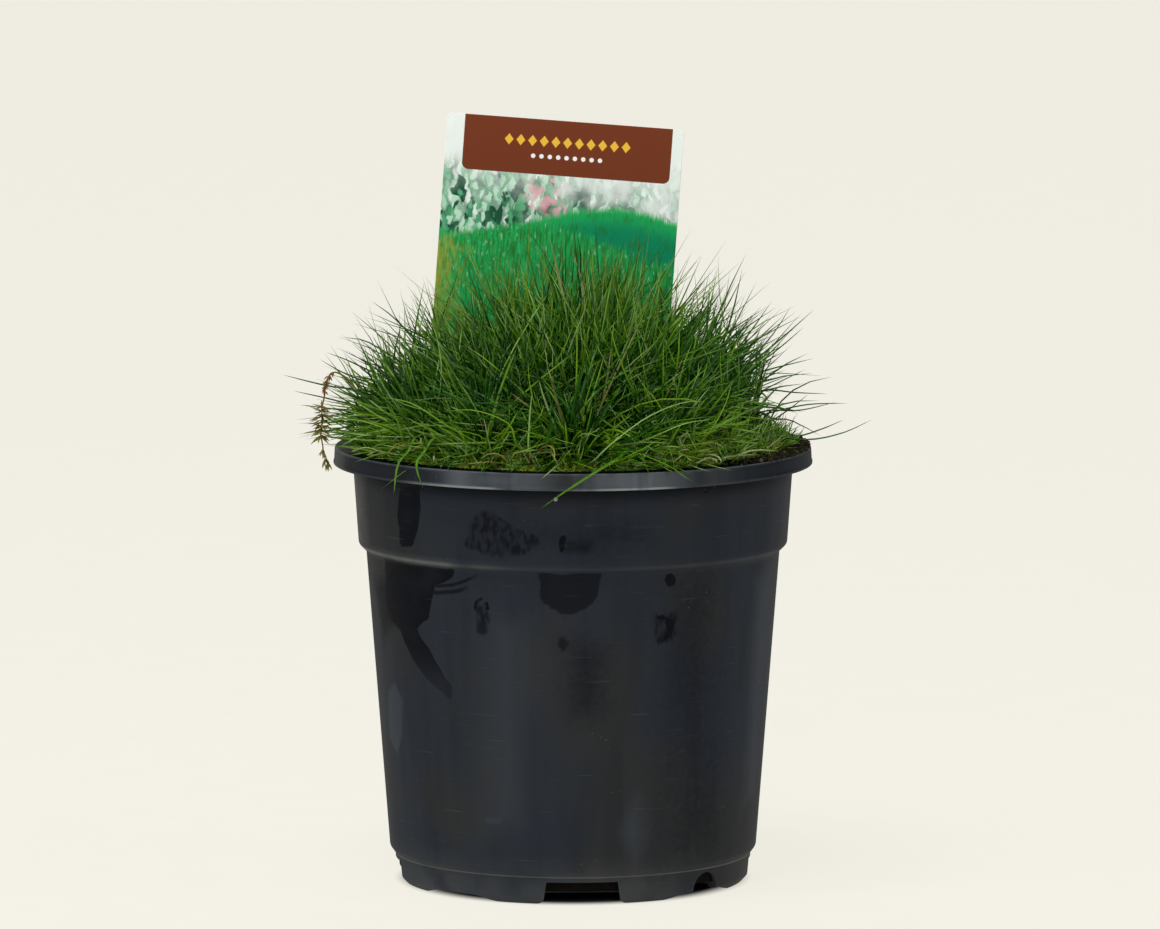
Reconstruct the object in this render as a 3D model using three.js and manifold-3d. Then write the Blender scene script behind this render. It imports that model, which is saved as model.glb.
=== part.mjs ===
// A tussock of bearskin fescue, a grass with needle-like leaves, growing in a round black nursery pot.
// Dead straw stands among the outer leaves, a weed shoot hangs over the rim on the left, and a
// stick-in plant label stands in the compost behind the middle of the plant.
// Millimetres, +Z up. The origin is on the ground under the middle of the plant, the front faces -Y.
import * as THREE from "three";
import { mergeVertices } from "three/addons/utils/BufferGeometryUtils.js";
import Module from "manifold-3d";

const wasm = await Module();
wasm.setup();

// Pot: a thin moulded shell, tapered, with a wider collar at the top and a down-turned lip.
const POT_HEIGHT = 155;
const RIM_RADIUS = 85;
const LIP_DROP = 6;
const LIP_THICKNESS = 1.2;
const LIP_ROUND = 0.8;
const LIP_DRAFT = 0.2;
const WALL = 1.2;
const COLLAR_TOP_RADIUS = 78.4;
const COLLAR_FOOT_RADIUS = 76.1;
const COLLAR_FOOT_HEIGHT = 120.6;
const LEDGE_DROP = 2.6;
const BODY_TOP_RADIUS = 73.4;
const BODY_FOOT_RADIUS = 65.2;
const FOOT_RING_RADIUS = 63.3;
const FOOT_RING_HEIGHT = 9.6;
const FOOT_STEP = 2.6;
const FOOT_CHAMFER = 2.4;
const FOOT_DRAFT = 0.5;
const STANDING_RADIUS = 60.6;
const STANDING_WIDTH = 1.4;
const FLOOR_UNDERSIDE = 3;
const FLOOR_THICKNESS = 1.2;
const FLOOR_CORNER = 0.4;
const POT_SEGMENTS = 40;

// Openings round the foot of the pot, counted from the front towards the right.
const NOTCHES = 4;
const NOTCH_STEP_DEG = 360 / NOTCHES;
const NOTCH_START_DEG = 3;
const NOTCH_WIDTH = 25;
const NOTCH_HEIGHT = 8.1;
const NOTCH_FLARE = 3.6;
const NOTCH_SPLAY = 0.8;
const NOTCH_FLARE_SHARE = 0.37;
const ARCH_WIDTH = 34;
const ARCH_HEIGHT = 2;
const ARCH_CROWN_SHARE = 0.4;
const ARCH_BEND_SHARE = 0.7;
const DRAIN_WIDTH = 12;
const DRAIN_SILL = 1.5;
const DRAIN_HEIGHT = 7;
const CUT_INNER_RADIUS = 53;
const CUT_OUTER_RADIUS = 70;
const CUT_BELOW_GROUND = 1;
const CUT_CURVE_STEPS = 2;
const FLOOR_HOLE_SIDES = 8;
const FLOOR_HOLE_RADIUS = 4;
const FLOOR_HOLE_RING = 29;
const FLOOR_HOLE_DEPTH = 6;

// Compost: fills the pot and rises to a low mound under the plant.
const FIT_GAP = 0.4;
const COMPOST_EDGE_HEIGHT = 151.6;
const COMPOST_MOUND = 9.4;
const COMPOST_RELIEF = 0.5;
// How much higher than the pot's own corners the compost's lie, so that the sloped walls stay apart.
const COMPOST_RISE_AT_FOOT = 0.4;
const COMPOST_RISE_AT_STEP = 1.2;
const COMPOST_RISE_AT_LEDGE = 0.9;
// The lumps of its top: waves across and along, and a slanted wave of a smaller share.
const LUMP_ACROSS = 0.31;
const LUMP_PHASE = 1.3;
const LUMP_ALONG = 0.27;
const LUMP_SLANT = [0.13, 0.41];
const LUMP_SLANT_SHARE = 0.6;
const COMPOST_EDGE_BAND = 0.1;
const COMPOST_SEGMENTS = 24;
const COMPOST_RINGS = [53, 31, 0];
const HOLE_SIDES = 5;
const HOLE_ABOVE = 12;

// Bundles of leaf sheaths that the leaves fan out of: tall ones in the crown, short ones by the rim.
// Each has its foot in the compost, swells above a neck and ends in a blunt point.
const TALL_BUNDLE = {
  sides: 8,
  depth: 9,
  foot: 4.9,
  neck: 2.6,
  widest: 7.6,
  widestAt: 9.5,
  top: 17,
  rootDisc: 4.4,
  rootHeight: 8.5,
};
const SHORT_BUNDLE = {
  sides: 6,
  depth: 6,
  foot: 2.6,
  neck: 2,
  widest: 4.2,
  widestAt: 5,
  top: 8.5,
  rootDisc: 2.4,
  rootHeight: 4.2,
};
const BUNDLE_SHOULDER = 0.6;
const BUNDLE_SHOULDER_AT = 0.9;
const BUNDLE_SOLID_SHARE = 0.8;
const BUNDLE_FLUTE = 0.8;
const BUNDLE_LEAN_SHARE = 0.66;

// Rings of tufts, from the heart of the tussock out to the skirt of low leaves along the rim.
const TUFT_RINGS = [
  { count: 1, radius: 0, startDeg: 0, leanDeg: 0, fanDeg: 25, leaves: 26, bundle: TALL_BUNDLE },
  { count: 6, radius: 21, startDeg: 0, leanDeg: 21, fanDeg: 27, leaves: 22, bundle: TALL_BUNDLE },
  { count: 10, radius: 43, startDeg: 16.9, leanDeg: 45, fanDeg: 33, leaves: 22, bundle: TALL_BUNDLE },
  { count: 12, radius: 61.5, startDeg: 0, leanDeg: 60, fanDeg: 40, leaves: 9, bundle: SHORT_BUNDLE },
];

// The dome that the leaf tips reach, and how the leaves vary inside it.
const DOME_RADIUS = 96;
const DOME_TOP = 231;
const DOME_BASE = 150;
const DOME_POWER = 2.3;
const LONGEST_RAY = 160;
const RAY_HALVINGS = 20;
const REACH_LEAST = 0.74;
const REACH_MOST = 1.07;
const FURTHEST_RADIUS = 100.5;
const LOWEST_RISE = 0.14;
const TURN_SPREAD_DEG = 11;
const SAG_LEAST = 0.04;
const SAG_MOST = 0.17;
const SIDE_CURL = 0.07;
const LEAF_OVER_COMPOST = 2.2;
const LEAF_OVER_RIM = 1.6;
const RIM_APPROACH = 6;
const CHECKS_PER_SPAN = 4;
const GOLDEN_ANGLE = Math.PI * (3 - Math.sqrt(5));
const TUFT_SEED = 100;
const STRAW_SEED = 900;

// Blades: three-sided, tapered, about a millimetre through.
const BLADE_RADIUS = 0.62;
const BLADE_SIDES = 3;
const BLADE_TIP_SHARE = 0.55;
const BLADE_TAPER_POWER = 1.5;
const BLADE_BURIED_MOST = 0.5;
const BLADE_SPANS = 2;
const LONG_BLADE_SPANS = 6;
const BLADE_ROOM = 0.75;
const TRIES = 80;

// Label: a printed plastic card with shoulders that run down into a stake.
const LABEL_WIDTH = 85;
const LABEL_CARD = 84;
const LABEL_SHOULDER = 16;
const LABEL_STAKE_HALF_WIDTH = 7;
const LABEL_STAKE_LENGTH = 46;
const LABEL_POINT = 8;
const LABEL_THICKNESS = 0.8;
const LABEL_CORNER = 2;
const LABEL_SHOULDER_INSET = 6;
const LABEL_SHOULDER_FALL = 2;
const LABEL_NECK_FLARE = 2;
const LABEL_NECK_BEND = 5;
const LABEL_STAKE_TAPER = 0.8;
const LABEL_CURVE_STEPS = 3;
const LABEL_TOP_CENTRE = new THREE.Vector3(-2.9, 36.4, 266.4);
const LABEL_ROLL_DEG = 3.7;
const LABEL_YAW_DEG = -4.7;
const LABEL_LEAN_DEG = -4;
const LABEL_SLOT_GAP = 0.45;
const LABEL_KEEP_CLEAR = 1.5;
const LABEL_EDGE_CLEAR = 2;

// Dead straw: small stools of a few bleached leaves, by the rim.
const STRAW_STOOLS = [
  { aroundDeg: 222, leaves: 4 },
  { aroundDeg: 255, leaves: 5 },
  { aroundDeg: 306, leaves: 5 },
  { aroundDeg: 75, leaves: 4 },
];
const STOOL_RING = 66;
const STOOL_RADIUS = 2;
const STOOL_DEPTH = 5;
const STOOL_HEIGHT = 4;
const STOOL_SIDES = 5;
const STOOL_TAPER = 0.7;
const STRAW_RADIUS = 0.58;
const STRAW_SPANS = 3;
const STRAW_FAN_DEG = 150;
const STRAW_TURN_SPREAD_DEG = 30;
const STRAW_LENGTH = { least: 13, spread: 13 };
const STRAW_RISE = { least: 4, spread: 9 };
// Where a straw's root, bend and tip lie, as shares of the stool's size and of its own.
const STRAW_ROOT_OUT = 0.2;
const STRAW_ROOT_UP = 0.4;
const STRAW_BEND_OUT = 0.4;
const STRAW_TIP_UP = 0.7;

// Weed shoot: rooted inside the rim on the left, it arches over and hangs down past the lip.
const SHOOT_ROUTE = [
  [-67, -16, 147.5],
  [-69, -16.5, 160],
  [-74, -17.5, 172],
  [-81, -19, 179.5],
  [-86, -20, 178],
  [-87.4, -20, 169],
  [-87.8, -20, 158],
  [-87.2, -19.6, 146.5],
];
const SHOOT_RADIUS = 0.62;
const SHOOT_SPANS = 12;
const SHOOT_CURVE_STEPS = 3;
const SHOOT_DEPTH = 7;
const SHOOT_HOLE_ROOM = 1;
const SHOOT_KEEP_CLEAR = 0.9;
// The stretch that hangs with its whorls, and the room that it keeps.
const SHOOT_HANGING = [0.54, 0.7, 1];
const SHOOT_HANGING_ROOM = 5;
const SHOOT_LEAF_RADIUS = 0.7;
// Whorls of small leaves: how far along the shoot each is, and how long its leaves are.
const WHORLS = [
  { at: 0.6, length: 3 },
  { at: 0.72, length: 4.6 },
  { at: 0.8, length: 5.2 },
  { at: 0.88, length: 6 },
  { at: 0.96, length: 4 },
];
const WHORL_LEAVES = 3;
const WHORL_FAN_DEG = 150;
const WHORL_STAGGER_DEG = 8;
const WHORL_DROOP = 0.4;

// Leaves that stand far out or hang over the rim: points from outside the sheaths to the tip.
const LONG_LEAVES = [
  [[22, -66, 163], [16, -80, 160], [9, -87.5, 156.8], [-2, -89.5, 149], [-12, -89, 141.5]],
  [[-52, -52, 165], [-57.5, -58.5, 159.5], [-61, -61.5, 155.5], [-62.5, -61.8, 144.5]],
  [[-46, -58, 165], [-52, -64.5, 160], [-54.5, -67.5, 156], [-52, -70.5, 148]],
  [[64, -16, 161], [82, -20, 159.4], [95, -22, 162], [105.6, -24, 167]],
  [[-66, 6, 171], [-88, 7, 175.5], [-103.4, 8, 179.2]],
  [[-5, -72, 171], [-8, -90, 170], [-10, -103.8, 163]],
  [[20, 72, 171], [24, 90, 169], [26, 103.8, 163]],
  [[-58, 52, 164], [-64, 58, 160], [-66.5, 60, 154], [-66, 60.5, 146]],
  [[60, 43, 164], [70, 48, 159.5], [74, 50, 155], [75, 50, 148]],
];

// Colours and finishes, as the photograph shows them.
const FINISHES = {
  pot: { color: 0x24262a, roughness: 0.42 },
  compost: { color: 0x2b2118, roughness: 0.95 },
  leaf: { color: 0x3f6f1e, roughness: 0.55 },
  straw: { color: 0xb08a4e, roughness: 0.75 },
  shoot: { color: 0x6b4a2a, roughness: 0.7 },
  label: { color: 0xdfe8e2, roughness: 0.35 },
};

const WELD = 1e-4;
const NEARLY_ZERO = 1e-6;
const NEARLY_PARALLEL = 1e-9;
const UP = new THREE.Vector3(0, 0, 1);

/** A repeatable random number from 0 to 1, from a whole-number seed. */
function seeded(seed) {
  let state = seed >>> 0;
  return () => {
    state = (state + 0x6d2b79f5) >>> 0;
    let mixed = Math.imul(state ^ (state >>> 15), 1 | state);
    mixed = (mixed + Math.imul(mixed ^ (mixed >>> 7), 61 | mixed)) ^ mixed;
    return ((mixed ^ (mixed >>> 14)) >>> 0) / 2 ** 32;
  };
}

/** A closed three.js geometry as a solid that can be joined and cut. */
function toSolid(geometry) {
  const bare = new THREE.BufferGeometry();
  bare.setAttribute("position", geometry.getAttribute("position"));
  bare.setIndex(geometry.index);
  const welded = mergeVertices(bare, WELD);
  const corners = welded.index.array;
  const kept = [];
  for (let i = 0; i < corners.length; i += 3) {
    const [a, b, c] = corners.subarray(i, i + 3);
    if (a !== b && b !== c && c !== a) kept.push(a, b, c);
  }
  const mesh = new wasm.Mesh({
    numProp: 3,
    vertProperties: welded.attributes.position.array,
    triVerts: new Uint32Array(kept),
  });
  return new wasm.Manifold(mesh);
}

/** A solid as a three.js geometry. */
function toGeometry(solid) {
  const mesh = solid.getMesh();
  const geometry = new THREE.BufferGeometry();
  geometry.setAttribute("position", new THREE.BufferAttribute(new Float32Array(mesh.vertProperties), 3));
  geometry.setIndex(new THREE.BufferAttribute(new Uint32Array(mesh.triVerts), 1));
  geometry.computeVertexNormals();
  return geometry;
}

/** All the solids joined into the first. */
const joined = (solids) => solids.reduce((whole, next) => whole.add(next));

/** A profile of [radius, height] pairs turned round the vertical axis, from a starting angle. */
function turned(profile, segments, start = 0) {
  const points = profile.map(([radius, height]) => new THREE.Vector2(radius, height));
  return new THREE.LatheGeometry(points, segments, start).rotateX(Math.PI / 2);
}

/** An outline in width and height, cut radially through the foot of the pot at an angle from the front. */
function footCut(outline, angleDeg) {
  const depth = CUT_OUTER_RADIUS - CUT_INNER_RADIUS;
  const settings = { depth, bevelEnabled: false, curveSegments: CUT_CURVE_STEPS };
  const cut = new THREE.ExtrudeGeometry(outline, settings);
  cut.translate(0, 0, CUT_INNER_RADIUS).rotateX(Math.PI / 2);
  return toSolid(cut.rotateZ(THREE.MathUtils.degToRad(angleDeg)));
}

/** The large drainage notch, open at the ground, with flared lower corners. */
function notchOutline() {
  const half = NOTCH_WIDTH / 2;
  const outline = new THREE.Shape();
  const flareTop = NOTCH_HEIGHT * NOTCH_FLARE_SHARE;
  outline.moveTo(-half - NOTCH_FLARE, -CUT_BELOW_GROUND);
  outline.lineTo(half + NOTCH_FLARE, -CUT_BELOW_GROUND);
  outline.lineTo(half + NOTCH_FLARE, 0);
  outline.quadraticCurveTo(half + NOTCH_SPLAY, 0, half + NOTCH_SPLAY, flareTop);
  outline.lineTo(half, NOTCH_HEIGHT);
  outline.lineTo(-half, NOTCH_HEIGHT);
  outline.lineTo(-half - NOTCH_SPLAY, flareTop);
  outline.quadraticCurveTo(-half - NOTCH_SPLAY, 0, -half - NOTCH_FLARE, 0);
  return outline;
}

/** The shallow rise in the standing edge between two notches. */
function archOutline() {
  const half = ARCH_WIDTH / 2;
  const crown = half * ARCH_CROWN_SHARE;
  const bend = half * ARCH_BEND_SHARE;
  const outline = new THREE.Shape();
  outline.moveTo(-half, -CUT_BELOW_GROUND);
  outline.lineTo(half, -CUT_BELOW_GROUND);
  outline.lineTo(half, 0);
  outline.quadraticCurveTo(bend, ARCH_HEIGHT, crown, ARCH_HEIGHT);
  outline.lineTo(-crown, ARCH_HEIGHT);
  outline.quadraticCurveTo(-bend, ARCH_HEIGHT, -half, 0);
  return outline;
}

/** The small drain hole with a round head, above an arch. */
function drainOutline() {
  const half = DRAIN_WIDTH / 2;
  const shoulder = DRAIN_SILL + DRAIN_HEIGHT - half;
  const outline = new THREE.Shape();
  outline.moveTo(-half, DRAIN_SILL);
  outline.lineTo(half, DRAIN_SILL);
  outline.lineTo(half, shoulder);
  outline.absarc(0, shoulder, half, 0, Math.PI, false);
  return outline;
}

/** A round hole through the pot's floor, at an angle from the front. */
function floorHole(angleDeg) {
  const radius = FLOOR_HOLE_RADIUS;
  const hole = new THREE.CylinderGeometry(radius, radius, FLOOR_HOLE_DEPTH, FLOOR_HOLE_SIDES);
  hole.rotateX(Math.PI / 2).translate(0, -FLOOR_HOLE_RING, FLOOR_UNDERSIDE);
  return toSolid(hole.rotateZ(THREE.MathUtils.degToRad(angleDeg)));
}

/** Pot shell with its lip, collar, ledge, foot ring, notches and drain holes. */
function potSolid() {
  const lipFoot = POT_HEIGHT - LIP_DROP;
  const skirtInside = RIM_RADIUS - LIP_THICKNESS;
  const ledgeFoot = COLLAR_FOOT_HEIGHT - LEDGE_DROP;
  const stepTop = FOOT_RING_HEIGHT + FOOT_STEP;
  const floorTop = FLOOR_UNDERSIDE + FLOOR_THICKNESS;
  const shell = turned(
    [
      [0, FLOOR_UNDERSIDE],
      [STANDING_RADIUS - STANDING_WIDTH, FLOOR_UNDERSIDE],
      [STANDING_RADIUS - STANDING_WIDTH, 0],
      [STANDING_RADIUS, 0],
      [FOOT_RING_RADIUS - FOOT_DRAFT, FOOT_CHAMFER],
      [FOOT_RING_RADIUS, FOOT_RING_HEIGHT],
      [BODY_FOOT_RADIUS, stepTop],
      [BODY_TOP_RADIUS, ledgeFoot],
      [COLLAR_FOOT_RADIUS, COLLAR_FOOT_HEIGHT],
      [COLLAR_TOP_RADIUS, POT_HEIGHT - LIP_THICKNESS],
      [skirtInside, POT_HEIGHT - LIP_THICKNESS],
      [skirtInside, lipFoot],
      [RIM_RADIUS, lipFoot],
      [RIM_RADIUS - LIP_DRAFT, POT_HEIGHT - LIP_ROUND],
      [RIM_RADIUS - LIP_DRAFT - LIP_ROUND, POT_HEIGHT],
      [COLLAR_TOP_RADIUS - WALL, POT_HEIGHT],
      [COLLAR_FOOT_RADIUS - WALL, COLLAR_FOOT_HEIGHT + WALL / 2],
      [BODY_TOP_RADIUS - WALL, ledgeFoot + WALL / 2],
      [BODY_FOOT_RADIUS - WALL, stepTop + WALL / 2],
      [FOOT_RING_RADIUS - WALL, FOOT_RING_HEIGHT],
      [FOOT_RING_RADIUS - WALL - FLOOR_CORNER, floorTop],
      [0, floorTop],
    ],
    POT_SEGMENTS,
  );
  let pot = toSolid(shell);
  for (let i = 0; i < NOTCHES; i++) {
    const notchAt = NOTCH_START_DEG + NOTCH_STEP_DEG * i;
    const betweenAt = notchAt + NOTCH_STEP_DEG / 2;
    pot = pot.subtract(footCut(notchOutline(), notchAt));
    pot = pot.subtract(footCut(archOutline(), betweenAt));
    pot = pot.subtract(floorHole(betweenAt));
    if (i % 2 === 0) pot = pot.subtract(footCut(drainOutline(), betweenAt));
  }
  return pot;
}

/** Height of the compost's surface at a distance from the axis, without its relief. */
function compostHeight(radius) {
  const share = Math.min(radius / (COLLAR_TOP_RADIUS - WALL), 1);
  return COMPOST_EDGE_HEIGHT + COMPOST_MOUND * (1 - share * share);
}

/** Compost that fills the pot, before its holes are made: a mound with a lumpy top. */
function compostSolid() {
  const inset = WALL + FIT_GAP;
  const floor = FLOOR_UNDERSIDE + FLOOR_THICKNESS + FIT_GAP;
  const ledgeFoot = COLLAR_FOOT_HEIGHT - LEDGE_DROP;
  const edgeShare = (COMPOST_EDGE_HEIGHT - COLLAR_FOOT_HEIGHT) / (POT_HEIGHT - COLLAR_FOOT_HEIGHT);
  const edgeRadius = THREE.MathUtils.lerp(COLLAR_FOOT_RADIUS, COLLAR_TOP_RADIUS, edgeShare) - inset;
  const profile = [
    [0, floor],
    [FOOT_RING_RADIUS - inset - FLOOR_CORNER, floor],
    [FOOT_RING_RADIUS - inset, FOOT_RING_HEIGHT + COMPOST_RISE_AT_FOOT],
    [BODY_FOOT_RADIUS - inset, FOOT_RING_HEIGHT + FOOT_STEP + COMPOST_RISE_AT_STEP],
    [BODY_TOP_RADIUS - inset, ledgeFoot + COMPOST_RISE_AT_LEDGE],
    [COLLAR_FOOT_RADIUS - inset, COLLAR_FOOT_HEIGHT + COMPOST_RISE_AT_LEDGE],
    [edgeRadius, COMPOST_EDGE_HEIGHT],
    ...COMPOST_RINGS.map((radius) => [radius, compostHeight(radius)]),
  ];
  const body = turned(profile, COMPOST_SEGMENTS, Math.PI / COMPOST_SEGMENTS);
  const places = body.getAttribute("position");
  for (let i = 0; i < places.count; i++) {
    const x = places.getX(i);
    const y = places.getY(i);
    const isTop = places.getZ(i) > COMPOST_EDGE_HEIGHT + COMPOST_EDGE_BAND;
    const square = Math.sin(x * LUMP_ACROSS + LUMP_PHASE) * Math.cos(y * LUMP_ALONG);
    const slanted = Math.sin(x * LUMP_SLANT[0] - y * LUMP_SLANT[1]);
    const lump = square + LUMP_SLANT_SHARE * slanted;
    if (isTop) places.setZ(i, places.getZ(i) + COMPOST_RELIEF * lump);
  }
  return toSolid(body);
}

/** Shortest distance between the segments a-b and c-d. */
function segmentGap(a, b, c, d) {
  const ab = b.clone().sub(a);
  const cd = d.clone().sub(c);
  const ca = a.clone().sub(c);
  const abab = ab.dot(ab);
  const cdcd = cd.dot(cd);
  const abcd = ab.dot(cd);
  const abca = ab.dot(ca);
  const cdca = cd.dot(ca);
  const spread = abab * cdcd - abcd * abcd;
  const limit = (value) => THREE.MathUtils.clamp(value, 0, 1);
  let along = spread > NEARLY_PARALLEL ? limit((abcd * cdca - cdcd * abca) / spread) : 0;
  const across = limit((abcd * along + cdca) / cdcd);
  along = limit((abcd * across - abca) / abab);
  const nearest = a.clone().addScaledVector(ab, along);
  return nearest.distanceTo(c.clone().addScaledVector(cd, across));
}

/** What the leaves have to keep clear of: each is a chain of points with a radius round it. */
const placed = [];

/** A chain of points for later leaves to keep clear of, apart from the leaves of its owner. */
function obstacle(points, radius, owner = null) {
  const ball = new THREE.Sphere().setFromPoints(points);
  return { owner, points, radius, ball };
}

/** Whether an owner's new chain is clear of everything placed so far. */
function isClear(chain, owner) {
  return !placed.some((other) => other.owner !== owner && clash(chain, other));
}

/** Whether two chains come nearer than their radii allow. */
function clash(one, other) {
  const room = one.radius + other.radius;
  const reach = one.ball.radius + other.ball.radius + room;
  if (one.ball.center.distanceTo(other.ball.center) > reach) return false;
  for (let i = 1; i < one.points.length; i++) {
    for (let j = 1; j < other.points.length; j++) {
      const gap = segmentGap(one.points[i - 1], one.points[i], other.points[j - 1], other.points[j]);
      if (gap < room) return true;
    }
  }
  return false;
}

/** A three-sided tapered leaf bent along a curve, thickest near its root and pointed at its tip. */
function bladeSolid(curve, spans, radius = BLADE_RADIUS) {
  const frames = curve.computeFrenetFrames(spans, false);
  const stations = curve.getSpacedPoints(spans);
  const leaf = new THREE.ConeGeometry(1, 1, BLADE_SIDES, spans).translate(0, 0.5, 0);
  const places = leaf.getAttribute("position");
  const point = new THREE.Vector3();
  for (let i = 0; i < places.count; i++) {
    const share = places.getY(i);
    const row = Math.round(share * spans);
    const turn = Math.atan2(places.getX(i), places.getZ(i));
    const isAxis = Math.hypot(places.getX(i), places.getZ(i)) < NEARLY_ZERO;
    const taper = THREE.MathUtils.lerp(1, BLADE_TIP_SHARE, share ** BLADE_TAPER_POWER);
    const width = isAxis ? 0 : radius * taper;
    point.copy(stations[row]);
    point.addScaledVector(frames.normals[row], width * Math.cos(turn));
    point.addScaledVector(frames.binormals[row], width * Math.sin(turn));
    places.setXYZ(i, point.x, point.y, point.z);
  }
  const solid = toSolid(leaf);
  return solid.volume() < 0 ? toSolid(flipped(leaf)) : solid;
}

/** The same geometry with its faces turned round. */
function flipped(geometry) {
  const corners = geometry.index.array;
  for (let i = 0; i < corners.length; i += 3) {
    [corners[i + 1], corners[i + 2]] = [corners[i + 2], corners[i + 1]];
  }
  return geometry;
}

/** A direction that leans outward from upright, by an angle in radians. */
function leaning(outward, angle) {
  return UP.clone().multiplyScalar(Math.cos(angle)).addScaledVector(outward, Math.sin(angle));
}

/** Where each tuft of the tussock stands, which way it leans and how its leaves fan out. */
function tussockPlan() {
  const tufts = [];
  for (const ring of TUFT_RINGS) {
    for (let i = 0; i < ring.count; i++) {
      const around = THREE.MathUtils.degToRad(ring.startDeg + (360 / ring.count) * i);
      const outward = new THREE.Vector3(Math.cos(around), Math.sin(around), 0);
      const lean = THREE.MathUtils.degToRad(ring.leanDeg);
      tufts.push({
        ...ring,
        name: `tuft_${String(tufts.length + 1).padStart(2, "0")}`,
        foot: outward.clone().multiplyScalar(ring.radius).setZ(compostHeight(ring.radius)),
        axis: leaning(outward, lean),
        stem: leaning(outward, lean * BUNDLE_LEAN_SHARE),
        random: seeded(TUFT_SEED + tufts.length),
        longLeaves: [],
      });
    }
  }
  return tufts;
}

/** Turns a solid's geometry so that its +Z runs along a direction, and puts its origin at a place. */
function stood(geometry, direction, place) {
  const turn = new THREE.Quaternion().setFromUnitVectors(UP, direction);
  return geometry.applyQuaternion(turn).translate(place.x, place.y, place.z);
}

/** The fluted bundle of sheaths at the foot of a tuft, partly in its hole in the compost. */
function bundleSolid({ bundle, stem, foot }) {
  const profile = [
    [0, -bundle.depth],
    [bundle.foot, -bundle.depth],
    [bundle.foot, bundle.neck],
    [bundle.widest, bundle.widestAt],
    [bundle.widest * BUNDLE_SHOULDER, bundle.top * BUNDLE_SHOULDER_AT],
    [0, bundle.top],
  ];
  const turnedBundle = turned(profile, bundle.sides);
  const places = turnedBundle.getAttribute("position");
  for (let i = 0; i < places.count; i++) {
    const column = Math.floor(i / profile.length) % bundle.sides;
    const isFlute = column % 2 !== 0 && places.getZ(i) > bundle.neck;
    const share = isFlute ? BUNDLE_FLUTE : 1;
    places.setXY(i, places.getX(i) * share, places.getY(i) * share);
  }
  return toSolid(stood(turnedBundle, stem, foot));
}

/** The plain hole in the compost that a bundle of sheaths, or a stem, stands in. */
function holeSolid(place, direction, radius, depth) {
  const outer = (radius + FIT_GAP) / Math.cos(Math.PI / HOLE_SIDES);
  const deep = depth + FIT_GAP;
  const hole = new THREE.CylinderGeometry(outer, outer, deep + HOLE_ABOVE, HOLE_SIDES).rotateX(Math.PI / 2);
  hole.translate(0, 0, (HOLE_ABOVE - deep) / 2);
  return toSolid(stood(hole, direction, place));
}

/** How far a ray from a place runs before it leaves the dome of leaf tips. */
function domeReach(place, direction) {
  const inside = (distance) => {
    const spot = place.clone().addScaledVector(direction, distance);
    const out = Math.hypot(spot.x, spot.y) / DOME_RADIUS;
    const high = Math.max(spot.z - DOME_BASE, 0) / (DOME_TOP - DOME_BASE);
    return out ** DOME_POWER + high ** DOME_POWER < 1;
  };
  let near = 0;
  let far = LONGEST_RAY;
  for (let step = 0; step < RAY_HALVINGS; step++) {
    const middle = (near + far) / 2;
    if (inside(middle)) near = middle;
    else far = middle;
  }
  return near;
}

/** Whether the stretch of a leaf between two places passes through the label's card or stake. */
function crossesLabel(before, spot) {
  const from = labelFrame.worldToLocal(before.clone());
  const to = labelFrame.worldToLocal(spot.clone());
  const neck = -LABEL_CARD - LABEL_SHOULDER;
  const halfWidth = to.y < neck ? LABEL_STAKE_HALF_WIDTH : LABEL_WIDTH / 2;
  const lowest = neck - LABEL_STAKE_LENGTH - LABEL_POINT;
  const isAcross = Math.abs(to.x) <= halfWidth + LABEL_EDGE_CLEAR;
  const isBeside = !isAcross || to.y < lowest || to.y > LABEL_EDGE_CLEAR;
  return !isBeside && (from.z * to.z < 0 || Math.abs(to.z) < LABEL_KEEP_CLEAR);
}

/** Whether a leaf would pass through the rim, the compost or the label, or reach out too far. */
function hitsFixture(points) {
  const steps = CHECKS_PER_SPAN;
  for (let i = 1; i < points.length; i++) {
    for (let step = 1; step <= steps; step++) {
      const before = points[i - 1].clone().lerp(points[i], (step - 1) / steps);
      const spot = points[i - 1].clone().lerp(points[i], step / steps);
      const radius = Math.hypot(spot.x, spot.y);
      const rimTop = radius > COLLAR_FOOT_RADIUS - RIM_APPROACH ? POT_HEIGHT + LEAF_OVER_RIM : 0;
      const ground = Math.max(compostHeight(radius) + LEAF_OVER_COMPOST, rimTop);
      const isOverPot = radius < RIM_RADIUS + LEAF_OVER_RIM;
      if (isOverPot && spot.z < ground) return true;
      if (radius > FURTHEST_RADIUS) return true;
      if (crossesLabel(before, spot)) return true;
    }
  }
  return false;
}

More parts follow.
